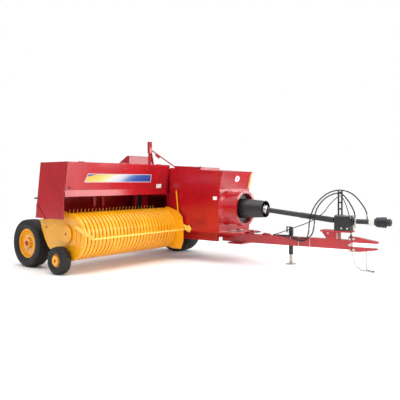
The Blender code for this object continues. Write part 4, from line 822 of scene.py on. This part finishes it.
def label_vinyl():
    """Printed vinyl under clear film: colours run along the strip, edged by a thin silver line."""
    material, tree, shader, _ = new_material("printed_vinyl_label")
    uv = add_node(tree, "ShaderNodeUVMap", {"uv_map": "label"}).outputs["UV"]
    parts = add_node(tree, "ShaderNodeSeparateXYZ", None, {"Vector": uv})
    u, v = parts.outputs["X"], parts.outputs["Y"]

    def maths(operation, a, b):
        return add_node(tree, "ShaderNodeMath", {"operation": operation}, {0: a, 1: b}).outputs[0]
    # the colour bands lean: the further up, the later each begins, on a gentle curve
    lean = maths("MULTIPLY", maths("POWER", v, 2.0), 0.16)
    run = maths("SUBTRACT", u, lean)
    ramp = add_node(tree, "ShaderNodeValToRGB", None, {"Fac": run})
    stops = ramp.color_ramp.elements
    stops[0].position, stops[0].color = 0.0, linear("#F3B24A")
    stops[1].position, stops[1].color = 1.0, linear("#153F8C")
    for place_at, colour in ((0.16, "#F6C765"), (0.28, "#EFD9A6"), (0.34, "#D9DBDF"), (0.48, "#BFC7D6"),
                             (0.58, "#5F82B8"), (0.70, "#2457A6")):
        stop = stops.new(place_at)
        stop.color = linear(colour)
    swoosh = maths("GREATER_THAN", v, maths("ADD", maths("MULTIPLY", u, 2.2), 0.62))
    colour = add_node(tree, "ShaderNodeMix", {"data_type": "RGBA"},
        {"Factor": swoosh, 6: ramp.outputs["Color"], 7: linear("#1B3F7E")}).outputs[2]
    inner_u = maths("MULTIPLY", maths("GREATER_THAN", u, 0.008), maths("LESS_THAN", u, 0.992))
    inner_v = maths("MULTIPLY", maths("GREATER_THAN", v, 0.07), maths("LESS_THAN", v, 0.93))
    inside = maths("MULTIPLY", inner_u, inner_v)
    edged = add_node(tree, "ShaderNodeMix", {"data_type": "RGBA"},
        {"Factor": inside, 6: linear("#CDD0D6"), 7: colour}).outputs[2]
    tree.links.new(edged, shader.inputs["Base Color"])
    shader.inputs["Roughness"].default_value = 0.28
    shader.inputs["Coat Weight"].default_value = 0.6
    return material


vinyl = label_vinyl()
sticker = enamel("white_vinyl_sticker", "#EDEDEA", "#F8F8F6", (0.35, 0.45), 0.2)
# flat dull black: in the feeder mouth it is painted shade, a dark sheet where the gap lies in shadow; the
# hood-end screws and the mouth bolt are black in it too
black_and_painted_shade = moulded("black_rubber_and_painted_shade", "#0B0B0C", "#141415", 0.05, (0.6, 0.8), 0.002, 0.0001)
hood_patch("hood_label", 0.165, 1.44, 1.222, 1.340, 0.0012, 0.001, vinyl, 0.05)
hood_patch("hood_sticker", 1.575, 1.688, 1.128, 1.192, 0.0012, 0.001, sticker)
bolts("hood_screws", [on_hood(1.722, 1.160), on_hood(-0.075, 1.150)], (1, 0, -0.158), 0.011, 0.009,
    black_and_painted_shade, "hood")
tubes("hood_pressed_line", [machine([on_hood(y, 1.135) for y in (-0.13, 0.5, 1.1, 1.77)])], 0.0016, red,
    "hood", 6)
HINGE_LINE, HINGE_HALF = HOOD_FACE + HOOD_LEAN - 0.020, 0.05
for number, y in enumerate((0.10, 0.86, 1.60)):
    knuckle = [(HINGE_LINE, y + step, HOOD_TOP) for step in (-HINGE_HALF, 0.0, HINGE_HALF)]
    tubes(f"hood_hinge_{number}", [machine(knuckle)], 0.0085, red, "chassis", 12)

# %% End panel: screws, peg and the lower wedge plate
END_FACE = -0.15
bolts("end_panel_screws", [(x, END_FACE, z) for x, z in ((0.807, 1.43), (0.62, 1.44), (0.49, 1.45),
    (0.90, 1.10), (0.88, 0.80), (0.36, 0.80))], (0, -1, 0), 0.008, 0.008, red, "chassis")
tubes("end_panel_peg", [machine([(0.352, END_FACE + out, 1.003) for out in (0.001, -0.015, -0.035)])],
    0.011, iron, "chassis", 12)
plate("end_panel_wedge", machine([(x, END_FACE - 0.0045, z) for x,
    z in ((0.345, 0.735), (0.56, 0.735), (0.352, 0.93))]), 0.004, red, "chassis", 0.001)

# %% [markdown]
# ## Inside the mouth
# A black sheet beside the feeder is painted shade, standing in for the shadow in that gap, next to a red
# guide sheet with one bolt.

# %% Mouth
blocks("mouth_painted_shade_sheet", [((0.572, 1.520, 0.79), (0.579, 1.655, 1.36))], black_and_painted_shade, "chassis")
blocks("mouth_guide", [((0.572, 1.657, 0.79), (0.577, 1.785, 1.36)),
    ((0.556, 1.657, 0.79), (0.5719, 1.665, 1.36))], red, "chassis")
bolts("mouth_bolt", [(0.577, 1.72, 0.98)], (1, 0, 0), 0.011, 0.010, black_and_painted_shade, "chassis")


# %% [markdown]
# ## Plunger housing trim
# The tall box at the front holds the flywheel and gearbox. Its side is folded on a seam, with louvres low
# down to cool the gearbox; its front carries an amber reflector and a round blank plate.

# %% Housing
HOUSING_SIDE, HOUSING_BACK, HOUSING_FRONT, HOUSING_KNEE = 1.84, 1.03, 2.02, 1.115
NOSE, NOSE_HEIGHT, ROOF_BACK = 2.085, 1.385, 1.452
FLYWHEEL_Y, FLYWHEEL_Z = 2.07, 0.836


def on_front(y, z, lift=0.0):
    """Point on the housing's front: upright below the knee, leaning forwards above it."""
    slope = (NOSE - HOUSING_FRONT) / (NOSE_HEIGHT - HOUSING_KNEE)
    x = HOUSING_FRONT + max(0.0, z - HOUSING_KNEE) * slope
    n = np.array([1.0, 0.0, -slope]) / math.hypot(1.0, slope) if z > HOUSING_KNEE else np.array([1.0, 0.0,
        0.0])
    return np.array([x, y, z]) + n * lift


def roof(x):
    """Height of the housing's roof, which falls from its back edge to the nose."""
    return ROOF_BACK - (ROOF_BACK - NOSE_HEIGHT) / (NOSE - HOUSING_BACK) * (x - HOUSING_BACK)


def reflector(name, deep, bright, patch, rough):
    """Clear acrylic over a moulded grid of fine prisms, seen as a shallow ripple."""
    material, tree, shader, coords = new_material(name)
    tree.links.new(two_tone(tree, coords, deep, bright, patch), shader.inputs["Base Color"])
    tree.links.new(bump(tree, coords, 0.004, 0.0006), shader.inputs["Normal"])
    shader.inputs["Roughness"].default_value = rough
    shader.inputs["Coat Weight"].default_value = 0.8
    return material


blocks("housing_side_seam", [((1.06, HOUSING_SIDE - 0.0025, 1.052), (2.018, HOUSING_SIDE, 1.058)),
    ((1.035, HOUSING_SIDE - 0.0025, 0.47), (1.041, HOUSING_SIDE, 1.44))], red, "chassis", bevel=0.001)
louvres = []
for k in range(7):
    x = 1.50 + 0.042 * k
    low, crest = HOUSING_SIDE - 0.0015, HOUSING_SIDE - 0.005
    louvres.append([(x, low, 0.545), (x + 0.004, crest, 0.57), (x + 0.004, crest, 0.62), (x, low, 0.645)])
tubes("housing_louvres", [machine(p) for p in louvres], 0.0055, red, "chassis", 8)
VINYL = 0.0008
corners = [(1.903, 0.957), (1.978, 0.957), (1.978, 1.008), (1.903, 1.008)]
plate("housing_sticker", machine([(x, HOUSING_SIDE - VINYL, z) for x, z in corners]), VINYL, sticker,
    "chassis")
bolts("housing_side_screws", [(x, HOUSING_SIDE, z) for x, z in ((1.08, 1.40), (1.55, 1.37), (2.02, 1.34),
    (1.08, 0.50), (1.50, 0.50), (1.98, 0.50))], (0, -1, 0), 0.009, 0.008, red, "chassis")
amber = reflector("amber_acrylic_reflector", "#F08A12", "#FBB53A", 0.01, 0.12)
corners = [(2.585, 1.128), (2.628, 1.128), (2.628, 1.360), (2.585, 1.360)]
plate("front_reflector", machine([on_front(y, z, 0.0005) for y, z in corners]), 0.005, amber, "chassis",
    0.0015)


def front_oval(name, half_width, half_height, lift, thick, finish):
    """A flat oval on the housing's leaning front."""
    edge = [on_front(2.252 + half_width * math.cos(t), 1.272 + half_height * math.sin(t),
        lift) for t in np.linspace(0, 2 * np.pi, 32, endpoint=False)]
    plate(name, machine(edge), thick, finish, "chassis")


front_oval("front_round_plate", 0.058, 0.046, 0.0005, 0.002, sticker)
front_oval("front_round_plate_centre", 0.016, 0.030, 0.0027, 0.0006, grey)
turned("flywheel_skirt", [(0.2442, 0.002), (0.2442, 0.080), (0.2475, 0.055), (0.2530, 0.028),
    (0.2620, 0.010), (0.2640, 0.004), (0.2640, 0.002)], machine((HOUSING_FRONT, FLYWHEEL_Y, FLYWHEEL_Z)),
    (1, 0, 0), red, "chassis", 72)
BOLT_CIRCLE, COLLAR_FACE = 0.245, 2.335
spots = [(COLLAR_FACE, FLYWHEEL_Y + BOLT_CIRCLE * math.cos(t),
    FLYWHEEL_Z + BOLT_CIRCLE * math.sin(t)) for t in np.radians(np.arange(15, 375, 45))]
bolts("collar_bolts", spots, (1, 0, 0), 0.009, 0.007, red, "chassis")
blocks("housing_front_hem", [((2.016, 1.842, 0.466), (2.023, 2.633, 0.478)),
    ((2.0195, 1.8425, 0.47), (2.0225, 1.852, 1.11)), ((2.0195, 2.624, 0.47), (2.0225, 2.633, 1.11))], red,
    "chassis", bevel=0.001)
blocks("top_lid_latch", [((1.582, 1.90, roof(1.6) + 0.003), (1.612, 1.93, roof(1.6) + 0.030)),
    ((1.560, 1.905, roof(1.57) + 0.036), (1.600, 1.925, roof(1.57) + 0.041))], red, "housing_lid")
grip = [(1.60, y, roof(1.6) + rise) for y, rise in ((1.900, 0.032), (1.915, 0.046), (1.930, 0.032))]
tubes("top_lid_grip", [machine(grip)], 0.007, iron, "housing_lid", 10)

# %% [markdown]
# ## Drive line
# Inside the bell a universal joint turns with the flywheel. The shaft runs in a plastic tube in two
# overlapping lengths. At the tractor's end a ribbed plastic cone covers the second joint.

# %% Drive line
JOINT, BEARING = np.array([2.60, FLYWHEEL_Y, FLYWHEEL_Z]), np.array([3.66, 2.565, 0.672])
REAR_LENGTH = float(np.linalg.norm(BEARING - JOINT))
AXIS_Z, CONE_U = 0.684, 2.0353


def on_rear_shaft(name, profile, finish, turns=36):
    """A ring on the rear shaft; its profile counts from the joint in the bell."""
    turned(name, profile, machine(JOINT), BEARING - JOINT, finish, "rear_shaft", turns)


def on_front_shaft(name, profile, finish, body="tongue", turns=40):
    """A ring on the front shaft, which lies along the drawbar; its profile counts from the drawbar's pin."""
    start, ahead = tongue([(0, 0, AXIS_Z), (1, 0, AXIS_Z)])
    turned(name, profile, start, ahead - start, finish, body, turns)


on_rear_shaft("joint_ring", [(0.0505, 0.030), (0.070, 0.030), (0.076, 0.038), (0.076, 0.048),
    (0.066, 0.054), (0.066, 0.062), (0.072, 0.067), (0.072, 0.080), (0.062, 0.088), (0.0505, 0.088)],
    zinc, 40)
on_rear_shaft("joint_collar", [(0.0365, 0.094), (0.046, 0.094), (0.050, 0.100), (0.050, 0.116),
    (0.044, 0.122), (0.0365, 0.122)], guard_plastic)
on_rear_shaft("shaft_outer_tube", [(r, share * REAR_LENGTH) for r,
    share in ((0.0362, 0.48), (0.0395, 0.48), (0.0415, 0.49), (0.0400, 0.50), (0.0400, 0.865),
    (0.0362, 0.870))], guard_plastic)
BELL_MOUTH = 2.68
turned("bell_lip", [(0.1145, -0.010), (0.1182, -0.012), (0.1205, -0.005), (0.1198, 0.002),
    (0.1165, 0.004), (0.1140, 0.0)], machine((BELL_MOUTH, FLYWHEEL_Y, FLYWHEEL_Z)), (1, 0, 0),
    guard_plastic, "chassis", 56)
# the band is white nylon; its light grey colour is painted shade, the grey of the shading on its round face
white_band_painted_shade = moulded("white_nylon_painted_grey_shade", "#C6C6C1", "#DADAD5", 0.03, (0.4, 0.5), 0.002, 0.00005)
on_front_shaft("shaft_white_band", [(0.0352, 1.958), (0.0475, 1.958), (0.0500, 1.966), (0.0500, 2.020),
    (0.0475, 2.028), (0.0352, 2.028)], white_band_painted_shade)
ribs = []
for k in range(6):
    u = 0.030 + 0.019 * k
    base = 0.058 + (0.066 - 0.058) * (u - 0.02) / 0.12
    ribs += [(base + 0.0045, u), (base + 0.011, u + 0.005), (base + 0.011, u + 0.009),
        (base + 0.0045, u + 0.014)]
ribs = [(0.0575, 0.022)] + ribs + [(0.0755, 0.139), (0.0700, 0.142), (0.0662, 0.142)]
ribs += [(0.0640, 0.120), (0.0600, 0.060), (0.0560, 0.024)]
on_front_shaft("joint_cone_ribs", [(r, u + CONE_U) for r, u in ribs], guard_plastic, turns=48)
on_front_shaft("coupler_lock_ring", [(0.0425, 2.196), (0.0490, 2.198), (0.0520, 2.204), (0.0520, 2.222),
    (0.0490, 2.228), (0.0425, 2.230)], guard_plastic, "coupler", 36)


# %% [markdown]
# ## Drawbar fittings
# Bolts, the latch spring, two long cable ties that hold the hoses to the beam, and the shield box's trim.

# %% Drawbar
def helix(start, end, radius, turns, place=tongue, steps=14):
    """Wire wound round a straight line: radius*(cos, sin) of the angle across it, advancing evenly."""
    start, end = place(start), place(end)
    _, side, up = square_to(end - start)
    t = np.linspace(0.0, 1.0, int(turns * steps) + 1)[:, None]
    turn = t * turns * 2 * np.pi
    return start + t * (end - start) + radius * (np.cos(turn) * side + np.sin(turn) * up)


spring_height = TONGUE_TOP + 0.04
tubes("latch_spring", [helix((0.232, 0, spring_height), (0.298, 0, spring_height), 0.0195, 8)], 0.0028,
    zinc, "tongue", 6)
for number, u in enumerate((0.970, 1.135)):
    low, high, wide = TONGUE_BOTTOM - 0.0012, TONGUE_TOP + 0.0012, 0.0515
    loop = [(u, -wide, low), (u, wide, low), (u, wide, high), (u, -wide, high)]
    path = []
    for k in range(4):
        a, b = np.array(loop[k]), np.array(loop[(k + 1) % 4])
        path += [a + (b - a) * s for s in (0.04, 0.35, 0.65, 0.96)]
    tubes(f"drawbar_tie_{number}", [tongue(path)], 0.0026, tie_nylon, "tongue", 6, closed=True)
bolts("hitch_plate_bolts", [(1.705, -0.06, 0.285), (1.705, -0.06, 0.36), (1.705, -0.06, 0.440),
    (1.755, -0.04, 0.445), (1.755, -0.04, 0.295)], (0, -1, 0), 0.013, 0.010, zinc, "tongue", tongue)
bolts("stand_bolts", [(1.53, -0.05, 0.445), (1.53, -0.05, 0.475), (1.53, -0.05, 0.505),
    (1.40, -0.05, 0.508)], (0, -1, 0), 0.009, 0.007, zinc, "tongue", tongue)
blocks("stand_side_plate", [((1.50, -0.050, 0.4255), (1.56, -0.0403, 0.530))], red, "tongue", tongue)
blocks("shield_top_trim", [((1.500, -0.0925, 0.7550), (1.720, -0.0900, 0.7600)),
    ((1.500, -0.0925, 0.7595), (1.720, 0.0900, 0.7610))], grey, "tongue", tongue, 0.0008)
bolts("shield_bolts", [(1.60, -0.09, 0.585), (1.68, -0.09, 0.585)], (0, -1, 0), 0.010, 0.008, zinc,
    "tongue", tongue)
bolts("shield_end_bolts", [(1.72, y, z) for y, z in ((-0.065, 0.735), (0.065, 0.735), (-0.065, 0.60),
    (0.065, 0.60))], (1, 0, 0), 0.009, 0.008, zinc, "tongue", tongue)
on_front_shaft("shield_clip", [(0.0485, 1.7202), (0.060, 1.7202), (0.064, 1.726), (0.064, 1.742),
    (0.058, 1.748), (0.0485, 1.748)], guard_plastic)
bolts("pin_cap_bolts", [(0.0, 0.0, 0.4795)], (0, 0, 1), 0.026, 0.012, zinc, "chassis", tongue)
turned("jack_foot_rim", [(0.060, 0.0125), (0.0745, 0.0005), (0.0765, 0.0035), (0.0765, 0.0090),
    (0.060, 0.0160)], tongue((0.80, 0.085, 0.0)), (0, 0, 1), zinc, "jack", 32)

# %% [markdown]
# ## The far side and the back
# The bale case is stiffened by pressed ribs, and two crank screws with springs squeeze its end, which
# sets how hard the bales are. The twine box, the knotter cover and the housing have their own seams,
# hinges, latches and screws.

# %% Bale case and tension springs
CASE_RIGHT_SIDE, CASE_LEFT_SIDE, CASE_ROOF_TOP, CASE_UNDER = 1.858, 2.342, 1.032, 0.648
CASE_END, SCREW_X = -0.999, -0.86
ribs = []
for x in (-0.60, -0.36, -0.12):
    for low, high in ((CASE_RIGHT_SIDE - 0.009, CASE_RIGHT_SIDE), (CASE_LEFT_SIDE, CASE_LEFT_SIDE + 0.009)):
        ribs.append(((x - 0.014, low, 0.690), (x + 0.014, high, 0.990)))
blocks("case_side_ribs", ribs, red, "chassis", bevel=0.003)
mouth_frame = [((CASE_END, CASE_RIGHT_SIDE - 0.006, CASE_UNDER),
    (CASE_END + 0.024, CASE_RIGHT_SIDE, CASE_ROOF_TOP)), ((CASE_END, CASE_LEFT_SIDE, CASE_UNDER),
    (CASE_END + 0.024, CASE_LEFT_SIDE + 0.006, CASE_ROOF_TOP)),
    ((CASE_END, CASE_RIGHT_SIDE, CASE_ROOF_TOP), (CASE_END + 0.014, CASE_LEFT_SIDE,
    CASE_ROOF_TOP + 0.005))]
blocks("case_mouth_frame", mouth_frame, red, "chassis")
top = CASE_ROOF_TOP + 0.07
for number, y in enumerate((CASE_RIGHT_SIDE - 0.055, CASE_LEFT_SIDE + 0.055)):
    coil = helix((SCREW_X, y, top + 0.002), (SCREW_X, y, top + 0.182), 0.0300, 9, machine)
    tubes(f"tension_spring_{number}", [coil], 0.0045, black, "chassis", 7)
    turned(f"tension_cap_{number}", [(0.0112, 0.0), (0.034, 0.0), (0.036, 0.003), (0.034, 0.008),
        (0.0112, 0.010)], machine((SCREW_X, y, top + 0.1905)), (0, 0, 1), zinc, "chassis", 24)
    grip = [(SCREW_X + 0.09, y, top + rise) for rise in (0.275, 0.31, 0.349)]
    tubes(f"tension_grip_{number}", [machine(grip)], 0.0155, guard_plastic, "chassis", 16)
for side_name, y, n in (("right", CASE_RIGHT_SIDE, -1), ("left", CASE_LEFT_SIDE, 1)):
    spots = [(x, y, z) for x in (-0.94, -0.70, -0.48, -0.24) for z in (0.70, 0.98)]
    bolts(f"case_bolts_{side_name}", spots, (0, n, 0), 0.009, 0.008, zinc, "chassis")

# %% Twine box, knotter cover and housing
twine_low, twine_high = (np.array(c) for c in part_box("twine_box"))
cover_low, cover_high = (np.array(c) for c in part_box("knotter_shield"))
shell_low, shell_high = (np.array(c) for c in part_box("plunger_housing"))


def at_frame(points):
    """Points already in the frame's metres."""
    return np.asarray(points, float)


y, rim_height = twine_high[1:]
blocks("twine_box_latch", [((x, y, rim_height - 0.060), (x + 0.03, y + 0.008, rim_height - 0.012))
    for x in (twine_low[0] + 0.10, twine_high[0] - 0.13)], zinc, "chassis", at_frame)
bolts("twine_box_screws", [(x, y, z) for x in (twine_low[0] + 0.03,
    twine_high[0] - 0.03) for z in (twine_low[2] + 0.03, twine_high[2] - 0.09)], (0, 1, 0), 0.008, 0.007,
    zinc, "chassis", at_frame)
ruby = reflector("red_acrylic_reflector", "#A80A12", "#DA1B22", 0.008, 0.10)
middle = (twine_low + twine_high) / 2
lens_place = (twine_low[0], middle[1], middle[2])
turned("rear_reflector", [(0.0005, 0.0), (0.038, 0.0), (0.040, 0.003), (0.037, 0.007), (0.0005, 0.008)],
    lens_place, (-1, 0, 0), ruby, "chassis", 32)
turned("rear_reflector_rim", [(0.0385, 0.0), (0.044, 0.0), (0.044, 0.006), (0.0405, 0.008),
    (0.0385, 0.006)], lens_place, (-1, 0, 0), grey, "chassis", 32)
# the cover slopes down to the rear; it has no front or underside, and its sheet is 4 mm thick
(rear, right, low), (front, left, high) = cover_low, cover_high
crest, tail = front - 0.055, low + 0.080
side_outline = [(rear, low), (front, low), (front, high), (crest, high), (rear, tail)]
points = [(x, right, z) for x, z in side_outline] + [(x, left, z) for x, z in side_outline]
faces = [[0, 1, 2, 3, 4], [9, 8, 7, 6, 5], [3, 2, 7, 8], [4, 3, 8, 9], [0, 4, 9, 5]]
cover = solid("knotter_cover", points, faces, red, "knotter_lid", False)
sheet = cover.modifiers.new("sheet", "SOLIDIFY")
sheet.thickness, sheet.offset = 0.004, -1.0
fold = cover.modifiers.new("fold", "BEVEL")
fold.width, fold.segments = 0.003, 2
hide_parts("knotter_shield")
bolts("knotter_cover_screws", [(x, left, low + 0.03) for x in (rear + 0.05, (rear + front) / 2,
    front - 0.04)], (0, 1, 0), 0.009, 0.007, zinc, "knotter_lid", at_frame)
handle = [(rear - out, right + across, low + 0.05) for out,
    across in ((0.0, 0.20), (0.030, 0.21), (0.034, 0.27), (0.030, 0.33), (0.0, 0.34))]
tubes("knotter_cover_handle", [handle], 0.006, black, "knotter_lid", 10)
x0, z0, y = shell_low[0], shell_low[2], shell_high[1]
DOOR_THICK, DOOR_START, DOOR_END = 0.003, 0.16, 0.76
blocks("housing_far_door", [((x0 + DOOR_START, y, z0 + 0.12),
    (x0 + DOOR_END, y + DOOR_THICK, z0 + 0.80))], red, "chassis", at_frame, 0.001)
blocks("housing_far_hinges", [((x0 + 0.150, y, z0 + rise), (x0 + 0.172, y + 0.012, z0 + rise + 0.07))
    for rise in (0.22, 0.62)], red, "chassis", at_frame)
spots = [(x0 + dx, y + (DOOR_THICK if DOOR_START < dx < DOOR_END else 0.0), z0 + dz) for dx,
    dz in ((0.73, 0.16), (0.73, 0.46), (0.73, 0.76), (0.05, 0.06), (0.05, 0.88), (0.92, 0.06),
    (0.92, 0.60), (0.50, 0.06))]
bolts("housing_far_screws", spots, (0, 1, 0), 0.009, 0.008, zinc, "chassis", at_frame)
far_louvres = []
for k in range(6):
    z = z0 + 0.26 + 0.045 * k
    far_louvres.append([(x0 + 0.34, y + 0.002, z), (x0 + 0.36, y + 0.006, z + 0.003),
        (x0 + 0.56, y + 0.006, z + 0.003), (x0 + 0.58, y + 0.002, z)])
tubes("housing_far_louvres", far_louvres, 0.006, red, "chassis", 8)

# %% [markdown]
# ## Studio
# A pale floor, a sky that the camera sees as white, and three soft lamps. The sky's light is brighter
# overhead than at the horizon, so that upright sheets keep their colour and level ones catch the gloss.

# %% Floor and lights
floor_mesh = bpy.data.meshes.new("studio_floor")
floor_mesh.from_pydata([(-9, -9, 0), (9, -9, 0), (9, 4.6, 0), (-9, 4.6, 0)], [], [(0, 1, 2, 3)])
floor = bpy.data.objects.new("studio_floor", floor_mesh)
bpy.context.scene.collection.objects.link(floor)
floor_finish, _, shader, _ = new_material("matt_studio_floor")
shader.inputs["Base Color"].default_value = linear("#FBFBFB")
shader.inputs["Roughness"].default_value = 0.9
floor_mesh.materials.append(floor_finish)

world = bpy.data.worlds.new("studio")
world.use_nodes = True
sky = world.node_tree
backdrop = sky.nodes["Background"]
backdrop.inputs["Color"].default_value = (1.0, 1.0, 1.0, 1.0)
backdrop.inputs["Strength"].default_value = 1.0
height = add_node(sky, "ShaderNodeSeparateXYZ", None, {"Vector": add_node(sky,
    "ShaderNodeTexCoord").outputs["Generated"]})
glow = add_node(sky, "ShaderNodeMapRange", None, {"Value": height.outputs["Z"], "From Min": 0.0,
    "From Max": 0.9, "To Min": 0.34, "To Max": 1.75})
softbox = add_node(sky, "ShaderNodeBackground", None, {"Strength": glow.outputs["Result"]})
seen = add_node(sky, "ShaderNodeLightPath")
both = add_node(sky, "ShaderNodeMixShader", None, {"Fac": seen.outputs["Is Camera Ray"],
    1: softbox.outputs["Background"], 2: backdrop.outputs["Background"]})
sky.links.new(both.outputs["Shader"], sky.nodes["World Output"].inputs["Surface"])
bpy.context.scene.world = world
# plain sRGB output, so that the enamels keep the strength of their charts' colours
bpy.context.scene.view_settings.view_transform = "Standard"


def soft_light(name, where, target, size, power):
    light = bpy.data.lights.new(name, "AREA")
    light.shape, light.size, light.energy = "SQUARE", size, power
    lamp = bpy.data.objects.new(name, light)
    lamp.location = where
    lamp.rotation_euler = (Vector(target) - Vector(where)).to_track_quat("-Z", "Y").to_euler()
    bpy.context.scene.collection.objects.link(lamp)


soft_light("overhead", (0.5, -1.0, 6.0), (0.2, 0.0, 0.8), 5.0, 180)
soft_light("far_front", (6.0, 5.5, 2.6), (0.0, 0.0, 0.9), 5.0, 400)
soft_light("right_side", (6.0, -1.5, 3.0), (0.5, 0.3, 0.8), 2.5, 60)
